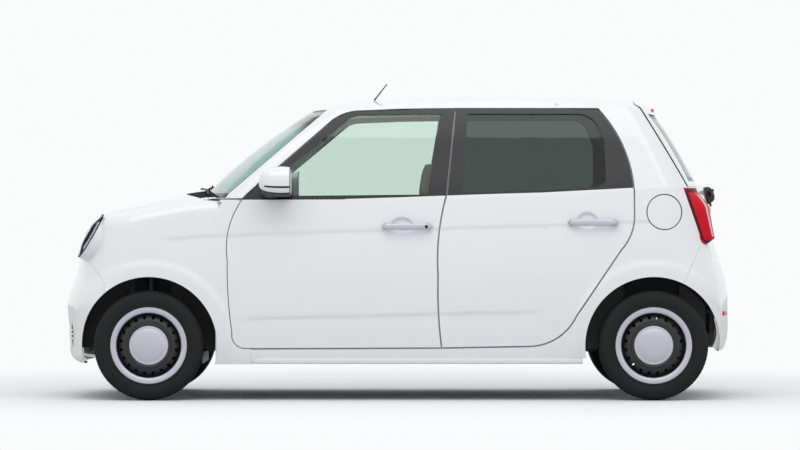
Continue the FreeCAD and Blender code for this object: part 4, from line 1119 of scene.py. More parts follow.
def mirror_outline(depth, grow):
    """The mirror seen from the front at one depth: a softly squared loop."""
    return [(MIRROR_X + depth,
             MIRROR_Y + MIRROR_HALF_WIDE * grow * squarer(math.cos(a), MIRROR_SQUARENESS),
             MIRROR_Z + MIRROR_HALF_HIGH * grow * squarer(math.sin(a), MIRROR_SQUARENESS))
            for a in round_angles(MIRROR_STEPS)]


def mirror():
    shell = rings("mirror_shell", [mirror_outline(*depth) for depth in MIRROR_DEPTHS],
                  [PAINT, BLACK, GLOSS_BLACK], crease=35)
    for k, polygon in enumerate(shell.data.polygons):
        step = k % MIRROR_STEPS
        low = 59 <= step <= 85
        line = 51 <= step <= 52 and polygon.center.x > MIRROR_X - 0.062
        back = polygon.center.x > MIRROR_X + 0.0605
        polygon.material_index = 1 if low or back else (2 if line else 0)
    glass = rings("mirror_glass", [mirror_outline(0.0625, 0.86), mirror_outline(0.0650, 0.84)], MIRROR_GLASS)
    foot_path = [(-0.640, -0.700, 1.030), (-0.632, -0.722, 1.028), (-0.622, -0.745, 1.030),
                 (-0.612, -0.768, 1.036)]
    foot = sweep_bar("mirror_foot", foot_path, [0.050, 0.040, 0.034, 0.036], [0.016, 0.017, 0.018, 0.022],
                     BLACK, 20)
    return merged("mirror", [shell, glass, foot])


both_sides(mirror(), "front_door_", "mirror_")
print("mirrors made,", round(2000 * MIRROR_HALF_WIDE), "mm wide")

# %% [markdown]
# ## Black corner of the front window
# The mirror's foot stands on a black plate that fills the front corner of the window, and
# its rear edge is the front of the glass.

# %% Mirror plate
PLATE = [(-0.772, 1.008), (-0.700, 1.084), (-0.668, 1.112), (-0.652, 1.112), (-0.648, 1.008)]
PLATE_SINKS = 0.004


def on_flank(name, outline, out, material):
    """A thin plate with an outline in side view that lies on the flank."""
    loop_in = [(x, side_y(x, z) - out, z) for x, z in outline]
    loop_back = [(x, y + out + PLATE_SINKS, z) for x, y, z in loop_in]
    return rings(name, [loop_back, loop_in], material)


both_sides(on_flank("mirror_plate", PLATE, 0.0035, SASH), "front_door_")
print("mirror plates made")

# %% [markdown]
# ## Inner shields of the rear arches
# Behind each rear wheel a pressed black shield closes the arch towards the cabin. The real
# one is welded or clipped to the body side. Here it is a band round the wheel, and rays at
# the body's own skin keep its outer edge a little inside, so that it never pokes through.

# %% Rear arch shields
BODY_TREES = {}


def skin_of(*nodes):
    """One search tree over the CAD faces of several nodes."""
    if nodes not in BODY_TREES:
        points, faces = [], []
        for name in nodes:
            mesh = NODES[name].data
            mesh.calc_loop_triangles()
            start = len(points)
            points += [v.co.copy() for v in mesh.vertices]
            faces += [[start + i for i in t.vertices] for t in mesh.loop_triangles]
        BODY_TREES[nodes] = BVHTree.FromPolygons(points, faces)
    return BODY_TREES[nodes]


ARCH_R = 0.347
ARCH_OUTER_Y, ARCH_INNER_Y = -0.712, -0.49
ARCH_FALLBACK_Y = -0.60
SKIN_CLEAR = 0.006
ARCH_STEPS = 40


def arch_shield(x):
    """Its outer edge stays inside the body's own surface all along the arch."""
    tree = skin_of("body_side_left", "rear_bumper")
    turns = np.linspace(0.62, math.pi - 0.25, ARCH_STEPS)
    edge = []
    for a in turns:
        start = ray_start(x + (ARCH_R + 0.012) * math.cos(a), TYRE_R + (ARCH_R + 0.012) * math.sin(a))
        skin = tree.ray_cast(start, FROM_LEFT)[0]
        edge.append(max(ARCH_OUTER_Y, skin.y + SKIN_CLEAR) if skin else ARCH_FALLBACK_Y)
    points = []
    for share, drop in ((0.0, 0.0), (0.5, 0.010), (1.0, 0.016)):
        points += [(x + (ARCH_R - drop) * math.cos(a), min(ARCH_INNER_Y, y + (ARCH_INNER_Y - y) * share),
                    TYRE_R + (ARCH_R - drop) * math.sin(a)) for a, y in zip(turns, edge)]
    wall = [len(points) - ARCH_STEPS + n for n in range(ARCH_STEPS)]
    return shape("rear_arch_shield", points, strips(3, ARCH_STEPS) + [wall], SEAL)


both_sides(arch_shield(REAR_AXLE.x))
print("arch shields made")

# %% [markdown]
# ## Headlamps
# Each lamp is a domed clear lens over a matt dark bezel that is domed too, with a bright
# crescent, the light guide, on its inner side. Behind the bezel's hole sit a bright ring,
# a bowl and a small projector. The real bowl is pressed and vapour-coated. All of these
# are turned about the way the lamp looks, and a painted lip joins the rim to the wing.

# %% Headlamps
LAMP_PLACE = Vector((-1.5445, -0.540, 0.822))
LAMP_SEAT = Vector((-1.5515, -0.540, 0.820))


def pointing(rake, toe):
    """The way a lamp looks: up by the rake and outward by the toe, in degrees."""
    r, t = math.radians(rake), math.radians(toe)
    return Vector((-math.cos(r) * math.cos(t), -math.cos(r) * math.sin(t), math.sin(r)))


LAMP_BLACK = finish("matt_lamp_bezel", (24, 24, 26), 0.8, 0.06, 9.0, specular_ior_level=0.12)
CHROME = finish("bright_reflector", (222, 224, 230), 0.08, 0.01, 6.0, metallic=1.0)
DOME_R, DOME_RISE = 0.120, 0.026
LENS_WALL = 0.0025
DOME = [(r, DOME_RISE * (1 - (r / DOME_R) ** 2) + 0.002) for r in
        (0.1195, 0.110, 0.095, 0.078, 0.060, 0.040, 0.020, 0.0005)]
LAMP_RINGS = [
    ("lens", LENS, DOME + [(r, d - LENS_WALL) for r, d in reversed(DOME)] + DOME[:1]),
    ("bezel", LAMP_BLACK, [(0.1245, -0.003), (0.1235, 0.0030), (0.1215, 0.0035), (0.1190, -0.003),
                           (0.105, 0.0024), (0.090, 0.0080), (0.075, 0.0124), (0.0640, 0.0154),
                           (0.0625, 0.0130), (0.0625, -0.012)]),
    ("bright_ring", SILVER, [(0.0625, -0.012), (0.0615, -0.006), (0.0585, -0.004), (0.0565, -0.008),
                             (0.0560, -0.016)]),
    ("bowl", CHROME, [(0.0560, -0.016), (0.053, -0.030), (0.047, -0.042), (0.040, -0.052), (0.034, -0.058)]),
    ("projector", GLOSS_BLACK, [(0.034, -0.058), (0.0345, -0.034), (0.032, -0.031), (0.030, -0.036)]),
    ("projector_lens", CHROME, [(0.0300, -0.037), (0.027, -0.028), (0.020, -0.021), (0.011, -0.0175),
                                (0.0005, -0.0165)]),
    ("lamp_back", BLACK, [(0.1180, -0.004), (0.098, -0.024), (0.090, -0.075), (0.040, -0.088),
                          (0.0005, -0.088)]),
]
print("turned rings in a headlamp", len(LAMP_RINGS))

# %% Light guide, lip and lamp
GUIDE_SECTION = ((0.1160, 0.0000), (0.1100, 0.0022), (0.1020, 0.0052), (0.0940, 0.0080))
GUIDE_HALF_TURN = 0.85
GUIDE_STEPS = 20
LIP_STEPS = 72


def light_guide(looks):
    """A bright crescent on the inner side of the bezel."""
    inward, downward = frame_across(looks)
    points = []
    for k in range(GUIDE_STEPS + 1):
        a = -GUIDE_HALF_TURN + 2 * GUIDE_HALF_TURN * k / GUIDE_STEPS
        for r, d in GUIDE_SECTION:
            points.append(LAMP_PLACE + looks * d - (downward * math.sin(a) + inward * math.cos(a)) * r)
    return shape("light_guide", points, strips(GUIDE_STEPS + 1, len(GUIDE_SECTION)), SILVER)


def lamp_lip(looks, seat):
    """A painted skin from the wing's surface to the lamp's rim."""
    wing_skin = skin_of("wing_left", "front_bumper")
    feet = []
    for edge in hoop(LAMP_SEAT, seat, 0.1205, LIP_STEPS):
        hit = wing_skin.ray_cast(edge + seat * 0.10, -seat, 0.25)[0]
        feet.append(hit - seat * 0.0015 if hit else edge - seat * 0.004)
    rim = hoop(LAMP_PLACE + looks * 0.001, looks, 0.1240, LIP_STEPS)
    levels = [[foot.lerp(top, t) + seat * 0.004 * math.sin(math.pi * t) for foot, top in zip(feet, rim)]
              for t in (0.0, 0.2, 0.4, 0.6, 0.8, 1.0)]
    return rings("lamp_lip", levels, PAINT, ends=False)


def headlamp():
    looks, seat = pointing(30, 9), pointing(27, 22)
    parts = [around_axis(name, LAMP_PLACE, looks, profile, material)
             for name, material, profile in LAMP_RINGS]
    return merged("headlamp", parts + [light_guide(looks), lamp_lip(looks, seat)])


left_lamp = headlamp()
both_sides(left_lamp)
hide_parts("headlamps")
print("headlamps made")

# %% [markdown]
# ## Tail lamps
# A moulded red lens wraps the rear corner. It has a dark edge all round and a bright
# strip down its rear part. It is laid on the body's own surface and swells a little.

# %% Tail lamps
CORNER = Vector((1.30, -0.40, 0.0))


def corner_point(tree, angle, z):
    """The rear corner's surface at one height, looking from outside at an angle."""
    way = Vector((math.sin(angle), -math.cos(angle), 0))
    hit = tree.ray_cast(CORNER + way * 1.2 + Vector((0, 0, z)), -way)[0]
    return hit or CORNER + way * 0.3 + Vector((0, 0, z))


TAIL_TOP, TAIL_FOOT = 1.057, 0.782
TAIL_INNER_Y = -0.541
TAIL_ROWS, TAIL_COLUMNS = 30, 26
TAIL_WALL = Vector((-0.045, 0.002, 0))
CORNER_ANGLES = np.linspace(0, 1.35, 90)
TAIL_RED = finish("red_lens", (208, 12, 34), 0.22, 0.08, 30.0, 0.05, 160.0, specular_ior_level=0.15,
                  coat_weight=0.12)
TAIL_EDGE = finish("dark_red_edge", (86, 22, 28), 0.3, 0.05, 20.0, specular_ior_level=0.2)


def tail_row(tree, v):
    """One row of the lens at a share v of its height, from its front edge to its inner edge."""
    z = TAIL_TOP + (TAIL_FOOT - TAIL_TOP) * v
    surface = [corner_point(tree, a, z) for a in CORNER_ANGLES]
    front_x = 1.4300 + 0.3816 * (TAIL_TOP - z) + 0.012 * ease(0.9, 1.0, v) + 0.010 * ease(0.1, 0.0, v)
    start = float(np.interp(front_x, [p.x for p in surface], CORNER_ANGLES))
    end = max(float(np.interp(TAIL_INNER_Y, [p.y for p in surface], CORNER_ANGLES)), start + 0.02)
    row = []
    for c in range(TAIL_COLUMNS + 1):
        u = c / TAIL_COLUMNS
        angle = start + (end - start) * u
        swell = 0.005 + 0.048 * ease(0.0, 0.35, v) * ease(0.0, 0.9, u)
        edge = min(1.0, u * 8 + 0.1, min(v, 1 - v) * 9 + 0.1)
        way = Vector((math.sin(angle), -math.cos(angle), 0))
        row.append(corner_point(tree, angle, z) + way * swell * edge)
    return row


def tail_finish(r, c):
    """Dark round the border, bright along the strip, red elsewhere."""
    border = c < 4 or c > TAIL_COLUMNS - 2 or r < 2 or r > TAIL_ROWS - 3
    strip = 18 <= c <= 20 and 2 < r < TAIL_ROWS - 4
    return 1 if border else (2 if strip else 0)


def tail_lamp():
    tree = skin_of("body_side_left", "tail_lamps", "tailgate", "rear_bumper")
    rows = [tail_row(tree, r / TAIL_ROWS) for r in range(TAIL_ROWS + 1)]
    points = [p for row in rows for p in row]
    width = TAIL_COLUMNS + 1
    faces = strips(TAIL_ROWS + 1, width)
    which = [tail_finish(r, c) for r in range(TAIL_ROWS) for c in range(TAIL_COLUMNS)]
    first = len(points)
    points += [row[-1] + TAIL_WALL for row in rows]
    for r in range(TAIL_ROWS):
        faces.append([r * width + TAIL_COLUMNS, first + r, first + r + 1, (r + 1) * width + TAIL_COLUMNS])
        which.append(1)
    return shape("tail_lamp", points, faces, [TAIL_RED, TAIL_EDGE, SILVER], 50, which)


wear(NODES["tail_lamps"], TAIL_RED)
both_sides(tail_lamp())
print("tail lamps made")

# %% [markdown]
# ## Ends of the nose slots
# The two slots in the nose are closed at their ends by painted blanks that carry on the
# bumper's surface, so the slots are seen only from ahead.

# %% Slot ends
BLANK_ROWS, BLANK_COLUMNS = 8, 10
BLANK_CLEAR = 0.006


def nose_x(y, z):
    """Where the bumper's front surface is."""
    return skin_of("front_bumper").ray_cast(Vector((-2.2, y, z)), Vector((1, 0, 0)))[0].x


def slot_end(name, inner, outer, low, high):
    """A painted blank between two heights that spans the end of a slot."""
    points = []
    for r in range(BLANK_ROWS + 1):
        v = r / BLANK_ROWS
        for c in range(BLANK_COLUMNS + 1):
            y = -(inner + (outer - inner) * c / BLANK_COLUMNS)
            under, over = nose_x(y, low - BLANK_CLEAR), nose_x(y, high + BLANK_CLEAR)
            x = under + (over - under) * v - 0.0008 - 0.010 * v * (1 - v) * (high - low) / 0.1
            points.append((x, y, low + (high - low) * v))
    return shape(name, points, strips(BLANK_ROWS + 1, BLANK_COLUMNS + 1), PAINT)


both_sides(slot_end("upper_slot_end", 0.205, 0.296, 0.716, 0.806))
both_sides(slot_end("lower_slot_end", 0.300, 0.408, 0.254, 0.380))
print("slot ends made")

# %% [markdown]
# ## Sill edges
# A thin painted edge closes the foot of each sill, between the two wheel arches, and
# turns in under the floor.

# %% Sill edges
SILL_FRONT, SILL_LENGTH = -0.742, 1.666
SILL_STEPS = 40
SILL_SECTION = ((0.0010, 0.214), (-0.0012, 0.206), (-0.0008, 0.192), (0.0030, 0.1845), (0.0110, 0.1825),
                (0.0300, 0.1850), (0.0420, 0.2050))


def sill_edge():
    tree = skin_of("body_side_left")
    points = []
    for k in range(SILL_STEPS + 1):
        x = SILL_FRONT + SILL_LENGTH * k / SILL_STEPS
        skin = tree.ray_cast(ray_start(x, 0.212), FROM_LEFT)[0]
        side = skin.y if skin else FLANK_Y
        points += [(x, side + inward, z) for inward, z in SILL_SECTION]
    row = len(SILL_SECTION)
    caps = [list(range(row)), [SILL_STEPS * row + j for j in reversed(range(row))]]
    return shape("sill_edge", points, strips(SILL_STEPS + 1, row) + caps, PAINT)


both_sides(sill_edge())
print("sill edges made")

# %% [markdown]
# ## Glass with a printed border
# Screens are clear in the middle, with a black enamel border that hides the glue, and the
# windscreen has a darker band at the top. The border follows the outline by a rule on
# the height and on the distance from the middle, in the material.

# %% Screen finishes
BAND_FADES = 0.012
SHADE_BAND_FROM = 1.375


def edge_rule(node):
    """The half width of a screen at its foot and at its head, with their heights."""
    points = [v.co for v in NODES[node].data.vertices]
    low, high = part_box(node)
    foot = max(abs(p.y) for p in points if p.z < low.z + 0.05)
    head = max(abs(p.y) for p in points if p.z > high.z - 0.05)
    return low.z, high.z, foot, head


def reckoned(tree, operation, *values):
    """A Math node over numbers and other nodes' outputs."""
    node = added(tree, "Math")
    node.operation = operation
    for value, socket in zip(values, node.inputs):
        if isinstance(value, (int, float)):
            socket.default_value = value
        else:
            wire(tree, (value, socket))
    return node.outputs[0]


def mixed(tree, share, first, second):
    """A shader that goes from the first to the second as the share goes from 0 to 1."""
    mix = added(tree, "MixShader")
    wire(tree, (share, mix.inputs[0]), (first, mix.inputs[1]), (second, mix.inputs[2]))
    return mix.outputs[0]


def bordered(name, base, node, border, foot_border, head_border, band_from=None):
    """A copy of a glass finish that turns to black enamel near the screen's outline."""
    low, high, foot, head = edge_rule(node)
    material = base.copy()
    material.name = name
    tree = material.node_tree
    glass = tree.nodes["Principled BSDF"].outputs[0]
    enamel = added(tree, "BsdfPrincipled", base_color=(*shade(28, 28, 30), 1), roughness=0.25)
    split = added(tree, "SeparateXYZ")
    wire(tree, (added(tree, "TexCoord").outputs["Object"], split.inputs[0]))
    y, z = split.outputs[1], split.outputs[2]
    slope = (head - foot) / (high - low)
    climb = reckoned(tree, "MULTIPLY", reckoned(tree, "SUBTRACT", z, low), slope)
    half = reckoned(tree, "ADD", climb, foot - border)
    outside = reckoned(tree, "GREATER_THAN", reckoned(tree, "ABSOLUTE", y), half)
    under = reckoned(tree, "LESS_THAN", z, low + foot_border)
    over = reckoned(tree, "GREATER_THAN", z, high - head_border)
    mask = reckoned(tree, "MAXIMUM", reckoned(tree, "MAXIMUM", outside, under), over)
    if band_from:
        tinted = added(tree, "BsdfPrincipled", base_color=(*shade(104, 99, 93), 1), roughness=0.0,
                       transmission_weight=1.0)
        fade = added(tree, "MapRange", from_min=band_from - BAND_FADES, from_max=band_from + BAND_FADES)
        wire(tree, (z, fade.inputs["Value"]))
        glass = mixed(tree, fade.outputs[0], glass, tinted.outputs[0])
    end = tree.nodes["Material Output"].inputs["Surface"]
    wire(tree, (mixed(tree, mask, glass, enamel.outputs[0]), end))
    return material


print("a maker of bordered screens is ready")

# %% The screens, the cowl and its strip
SCREEN_GLASS = finish("windscreen_glass", (196, 222, 216), 0.0, 0.004, 2.0, transmission_weight=1.0, ior=1.45)
wear(NODES["windscreen"], bordered("windscreen_with_border", SCREEN_GLASS, "windscreen",
                                   -0.070, 0.022, 0.012, SHADE_BAND_FROM))
wear(NODES["tailgate_glass"], bordered("tailgate_glass_with_border", PRIVACY_GLASS, "tailgate_glass",
                                       0.024, 0.022, 0.022))
COWL = finish("matt_cowl_plastic", (30, 30, 31), 0.9, 0.08, 8.0, 0.3, 600.0, specular_ior_level=0.1)
wear(NODES["cowl_panel"], COWL)
SCUTTLE = [(-0.972, 1.001), (-0.972, 1.008), (-0.778, 1.010), (-0.786, 0.999)]
both_sides(on_flank("scuttle_strip", SCUTTLE, 0.0025, SEAL))
print("screens dressed")

# %% [markdown]
# ## Wipers and aerial
# Each front wiper is a cranked steel arm with a cap on its pivot and a thin blade with a
# rubber lip. The rear one has a domed cover over its motor's shaft.

# %% Front wipers
BLADE_STEPS = 12
PIVOT_CAP = [(0.017, -0.014), (0.0175, 0.002), (0.014, 0.008), (0.007, 0.0105), (0.0004, 0.011)]
ARM_BENDS = ((0.008, 0.12), (0.020, 0.35), (0.034, 0.62))


def above_cowl(x, y, clear):
    """A place a little above the cowl or the foot of the screen."""
    down = skin_of("cowl_panel", "windscreen").ray_cast(Vector((x, y, 1.6)), Vector((0, 0, -1)))[0]
    return (x, y, (down.z if down else 1.04) + clear)


def arm_and_blade(name, pivot, reach):
    x, y, z = above_cowl(*pivot, 0.010)
    cap = around_axis(name + "_cap", Vector((x, y, z)), UP, PIVOT_CAP, BLACK, 32)
    path = [(x, y, z + 0.004)]
    path += [above_cowl(x + dx, y + reach * part, 0.016) for dx, part in ARM_BENDS]
    arm = sweep_bar(name + "_arm", path, [0.010, 0.008, 0.006, 0.0045], [0.005, 0.004, 0.0035, 0.003],
                    BLACK, 12)
    spine = [above_cowl(x + 0.024 + 0.024 * t, y + reach * (0.12 + 0.86 * t), 0.011)
             for t in np.linspace(0, 1, BLADE_STEPS)]
    under = [(px + 0.002, py, pz - 0.006) for px, py, pz in spine]
    blade = sweep_bar(name + "_blade", spine, [0.0045] * BLADE_STEPS, [0.005] * BLADE_STEPS, BLACK, 10)
    lip = sweep_bar(name + "_lip", under, [0.0015] * BLADE_STEPS, [0.004] * BLADE_STEPS, SEAL, 8)
    return [cap, arm, blade, lip]


wiper_parts = arm_and_blade("right_wiper", (-1.000, 0.330), -0.43)
wiper_parts += arm_and_blade("left_wiper", (-1.000, -0.200), -0.38)
wipers = merged("front_wipers", wiper_parts)
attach(wipers, "body")
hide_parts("wipers")
print("front wipers made")

# %% Rear wiper
REAR_HUB = Vector((1.610, 0.0, 1.034))
REAR_AXIS = Vector((0.94, 0, 0.34)).normalized()
HUB_PROFILE = [(0.036, -0.110), (0.043, -0.050), (0.044, -0.012), (0.041, 0.004), (0.032, 0.016),
               (0.016, 0.022), (0.0005, 0.0235)]


def from_hub(*places):
    return [REAR_HUB + Vector(p) for p in places]


def rear_wiper():
    cover = around_axis("hub", REAR_HUB, REAR_AXIS, HUB_PROFILE, BLACK, 40)
    nozzle = sweep_bar("nozzle", from_hub((-0.02, 0, -0.030), (0.006, 0, -0.052), (0.004, 0, -0.078)),
                       [0.007, 0.006, 0.004], [0.008, 0.006, 0.004], BLACK, 12, across=Vector((1, 0, 0)))
    path = from_hub((0, 0, 0), (0, -0.06, 0.006), (-0.004, -0.16, 0.012), (-0.012, -0.29, 0.018))
    arm = sweep_bar("rear_arm", [p + REAR_AXIS * 0.006 for p in path], [0.014, 0.011, 0.008, 0.006],
                    [0.016, 0.010, 0.007, 0.006], BLACK, 12, across=REAR_AXIS)
    spine = from_hub(*((-0.006 - 0.012 * t, -0.02 - 0.29 * t, 0.020 + 0.004 * t)
                       for t in np.linspace(0, 1, 8)))
    blade = sweep_bar("rear_blade", [p - REAR_AXIS * 0.004 for p in spine], [0.004] * 8, [0.006] * 8, SEAL, 8,
                      across=REAR_AXIS)
    return merged("rear_wiper_with_cover", [cover, nozzle, arm, blade])


back_wiper = rear_wiper()
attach(back_wiper, "tailgate")
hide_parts("rear_wiper")
print("rear wiper made")

# %% Aerial
MAST_FOOT = Vector((-0.120, -0.330, 1.499))
MAST_RAKE = math.radians(38)
mast_way = Vector((math.sin(MAST_RAKE), 0, math.cos(MAST_RAKE)))
MAST_BASE = [(0.019, -0.006), (0.0185, 0.002), (0.014, 0.014), (0.009, 0.020), (0.0004, 0.022)]
MAST = [(0.0045, 0.0), (0.0036, 0.02), (0.0026, 0.095), (0.0036, 0.097), (0.0036, 0.103), (0.0004, 0.104)]
mast_base = around_axis("mast_base", MAST_FOOT, UP, MAST_BASE, BLACK, 32)
mast = around_axis("mast", MAST_FOOT + UP * 0.010, mast_way, MAST, BLACK, 16)
aerial = merged("aerial_mast", [mast_base, mast])
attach(aerial, "body")
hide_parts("aerial")
print("aerial made")

# %% [markdown]
# ## Seats
# Seats are foam under fabric: each pad swells in the middle, is tight at its piped edge,
# and has shallow stitched channels. A pad is a rounded block whose faces bulge, with its
# channels pressed in. The front pair are buckets, and the rear one is a bench.

# %% Seats
FABRIC = finish("woven_seat_fabric", (150, 142, 132), 0.92, 0.07, 30.0, 0.5, 900.0, 0.0006, sheen_weight=0.3)
SEAT_TRIM = finish("dark_seat_base", (52, 50, 49), 0.75, 0.06, 10.0, 0.35, 500.0)
PAD_SQUARENESS = 7
CHANNEL_DEPTH, CHANNEL_WIDE = 0.006, 0.007
PIPING_DEPTH, PIPING_AT = 0.005, 0.66
WING_RISE = 0.020


def on_pad(cube, half, channels, crown):
    """Where a place on a cube goes on the pad: rounded, swollen, and pressed at its seams."""
    length, width, thick = half
    norm = sum(abs(c) ** PAD_SQUARENESS for c in cube) ** (1 / PAD_SQUARENESS)
    u, v, w = (c / norm for c in cube)
    swell = crown * (1 - u * u) * (1 - v * v)
    groove = sum(CHANNEL_DEPTH * math.exp(-((u * length - place) / CHANNEL_WIDE) ** 2) * (1 - abs(v) ** 6)
                 for place in channels)
    piping = PIPING_DEPTH * math.exp(-((abs(v) - PIPING_AT) * width / CHANNEL_WIDE) ** 2) * (1 - abs(u) ** 8)
    z = w * (thick + swell) - math.copysign(groove + piping, w) * min(1, abs(w))
    wing_up = WING_RISE * ease(0.62, 0.95, abs(v)) * (1 if w > 0 else 0)
    return Vector((u * length, v * width, z + wing_up))


def pad(name, size, centre, lean, channels, crown, material, cells=26):
    """A crowned block: size is its length, width and thickness; lean turns it back."""
    half = [s / 2 for s in size]
    points, faces, index = [], [], {}
    for axis, sign in [(axis, sign) for axis in range(3) for sign in (-1, 1)]:
        first, second = [a for a in range(3) if a != axis]
        grid = {}
        for i in range(cells + 1):
            for j in range(cells + 1):
                cube = [0.0, 0.0, 0.0]
                cube[axis] = sign
                cube[first] = math.sin((i / cells - 0.5) * math.pi)
                cube[second] = math.sin((j / cells - 0.5) * math.pi)
                key = tuple(round(c, 5) for c in cube)
                if key not in index:
                    index[key] = len(points)
                    points.append(on_pad(cube, half, channels, crown))
                grid[i, j] = index[key]
        for i in range(cells):
            for j in range(cells):
                loop = [grid[i, j], grid[i + 1, j], grid[i + 1, j + 1], grid[i, j + 1]]
                if len(set(loop)) == 4:
                    faces.append(loop)
    turn = Matrix.Rotation(math.radians(lean), 4, "Y")
    points = [turn @ p + Vector(centre) for p in points]
    return shape(name, points, faces, material, 60)


print("a maker of pads is ready")

# %% The seats
SEAT_Y = 0.345
CUSHION_LEAN, BACK_LEAN, HEAD_LEAN, BENCH_LEAN = -4, -76, -80, -72
POST_WAY = Vector((0.17, 0, 0.985)).normalized()
POST_PROFILE = [(0.006, 0.0), (0.006, 0.12)]


def bucket_seat(name, y):
    """One front seat: its three soft pads, and its base with the headrest's two posts."""
    soft = [
        pad(name + "_cushion", (0.500, 0.480, 0.150), (-0.170, y, 0.455), CUSHION_LEAN, (-0.10, 0.03, 0.14),
            0.022, FABRIC),
        pad(name + "_back", (0.560, 0.450, 0.105), (0.108, y, 0.755), BACK_LEAN, (-0.16, -0.03, 0.10), 0.020,
            FABRIC),
        pad(name + "_headrest", (0.165, 0.245, 0.085), (0.178, y, 1.098), HEAD_LEAN, (), 0.014, FABRIC, 18),
    ]
    hard = [pad(name + "_base", (0.430, 0.440, 0.170), (-0.155, y, 0.330), 0, (), 0.002, SEAT_TRIM, 14)]
    hard += [around_axis(name + "_post", Vector((0.148, y + s, 0.96)), POST_WAY, POST_PROFILE, CHROME, 16)
             for s in (-0.06, 0.06)]
    return soft, hard


soft_parts, hard_parts = [], []
for name, y in (("driver", SEAT_Y), ("passenger", -SEAT_Y)):
    soft, hard = bucket_seat(name, y)
    soft_parts += soft
    hard_parts += hard
bench = [
    pad("bench_cushion", (0.430, 1.150, 0.150), (0.745, 0, 0.530), -3, (-0.08, 0.07), 0.018, FABRIC, 34),
    pad("bench_back", (0.480, 1.000, 0.110), (0.925, 0, 0.755), BENCH_LEAN, (-0.12, 0.02, 0.14), 0.016,
        FABRIC, 34),
]
for piece in soft_parts + bench:
    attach(piece, "body")
frame_of_seats = merged("front_seat_bases", hard_parts)
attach(frame_of_seats, "body")
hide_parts("front_seats")
BENCH_BASE = (0.420, 1.100, 0.120)
bench_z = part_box("rear_seat")[0].z + BENCH_BASE[2] / 2
bench_base = pad("bench_base", BENCH_BASE, (0.750, 0, bench_z), 0, (), 0.002, SEAT_TRIM, 18)
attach(bench_base, "body")
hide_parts("rear_seat")
print("pads", len(soft_parts + bench))

# %% [markdown]
# ## Steering wheel and dashboard
# The wheel's rim is a padded ring with a flat-bottomed boss and three spokes. The dash
# keeps its moulded block, with a hood over the dials, vents, a screen and a bright edge to
# the tray. A small mirror hangs on a stalk from the head of the windscreen.

# %% Steering wheel
COLUMN_RAKE = math.radians(26)
COLUMN = Vector((math.cos(COLUMN_RAKE), 0, math.sin(COLUMN_RAKE)))
COLUMN_END = Vector((-0.560, SEAT_Y, 0.880))
ACROSS = Vector((0, 1, 0))
RIM_R, RIM_THICK, RIM_THICKER = 0.185, 0.0150, 0.0018
BOSS_PROFILE = [(0.024, 0.0004), (0.026, 0.02), (0.050, 0.028), (0.066, 0.045), (0.064, 0.066),
                (0.048, 0.078), (0.020, 0.083), (0.0005, 0.084)]
SPOKE_THICK = [0.007] * 4
SPOKE_SHARES = (1.1, 0.9, 0.8, 0.9)


def steering_wheel():
    centre = COLUMN_END + COLUMN * 0.062
    up = COLUMN.cross(ACROSS).normalized() * -1
    outlines = []
    for a in round_angles(72):
        spoke = ACROSS * math.cos(a) + up * math.sin(a)
        grip = RIM_THICK + (RIM_THICKER if abs(math.cos(a)) > 0.86 else 0)
        outlines.append([centre + spoke * (RIM_R + grip * math.cos(b)) + COLUMN * grip * math.sin(b)
                         for b in round_angles(14)])
    parts = [rings("rim", outlines + outlines[:1], BLACK, ends=False),
             around_axis("boss", COLUMN_END, COLUMN, BOSS_PROFILE, DASH, 48)]
    for way, half in ((ACROSS, 0.020), (-ACROSS, 0.020), (-up, 0.026)):
        path = [centre + way * r - COLUMN * 0.010 * (1 - r / 0.18) for r in (0.050, 0.09, 0.13, 0.172)]
        wide, thin = [half * s for s in SPOKE_SHARES], SPOKE_THICK
        upright = abs(way.y) < 0.5
        parts.append(sweep_bar("spoke", path, wide if upright else thin, thin if upright else wide,
                               SATIN_BLACK_STEEL, 14, across=ACROSS if upright else up))
    return merged("steering_wheel_with_grip", parts)


wheel_in_hand = steering_wheel()
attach(wheel_in_hand, "steering_wheel")
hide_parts("steering_wheel")
print("steering wheel made,", round(2000 * RIM_R), "mm across its rim")

# %% Dashboard and cabin mirror
DASH_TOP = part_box("dashboard")[1].z


def dash_dressing():
    hood = sweep_bar("dial_hood", [(-0.80, SEAT_Y, DASH_TOP - 0.01), (-0.74, SEAT_Y, DASH_TOP + 0.022),
                                   (-0.69, SEAT_Y, DASH_TOP + 0.026), (-0.655, SEAT_Y, DASH_TOP + 0.012)],
                     [0.10, 0.15, 0.165, 0.160], [0.006, 0.020, 0.024, 0.014], DASH, 28)
    screen = sweep_bar("centre_screen", [(-0.632, y, 0.868) for y in (-0.11, 0.0, 0.11)],
                       [0.012, 0.013, 0.012], [0.052, 0.054, 0.052], GLOSS_BLACK, 20, power=6)
    vents = [sweep_bar("vent", [(-0.640, y - 0.045, 0.900), (-0.632, y, 0.900), (-0.640, y + 0.045, 0.900)],
                       [0.012] * 3, [0.024] * 3, GLOSS_BLACK, 18, power=5) for y in (-0.52, 0.52)]
    tray = sweep_bar("tray_edge", [(-0.640, -0.50, 0.800), (-0.618, -0.34, 0.800), (-0.640, -0.18, 0.800)],
                     [0.014] * 3, [0.006] * 3, SILVER, 14)
    return merged("dash_fittings", [hood, screen, tray] + vents)


def cabin_mirror():
    outlines = []
    for x, grow in ((-0.395, 0.55), (-0.388, 0.9), (-0.372, 1.0), (-0.366, 0.97)):
        outlines.append([(x, 0.112 * grow * squarer(math.cos(a), 0.6),
                          1.335 + 0.032 * grow * squarer(math.sin(a), 0.6)) for a in round_angles(36)])
    stalk = sweep_bar("mirror_stalk", [(-0.392, 0, 1.340), (-0.420, 0, 1.370), (-0.440, 0, 1.388)],
                      [0.007] * 3, [0.007] * 3, BLACK, 12, across=ACROSS)
    return merged("cabin_mirror", [rings("mirror_case", outlines, BLACK), stalk])


for fitting in (dash_dressing(), cabin_mirror()):
    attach(fitting, "body")
print("dashboard and cabin mirror dressed")

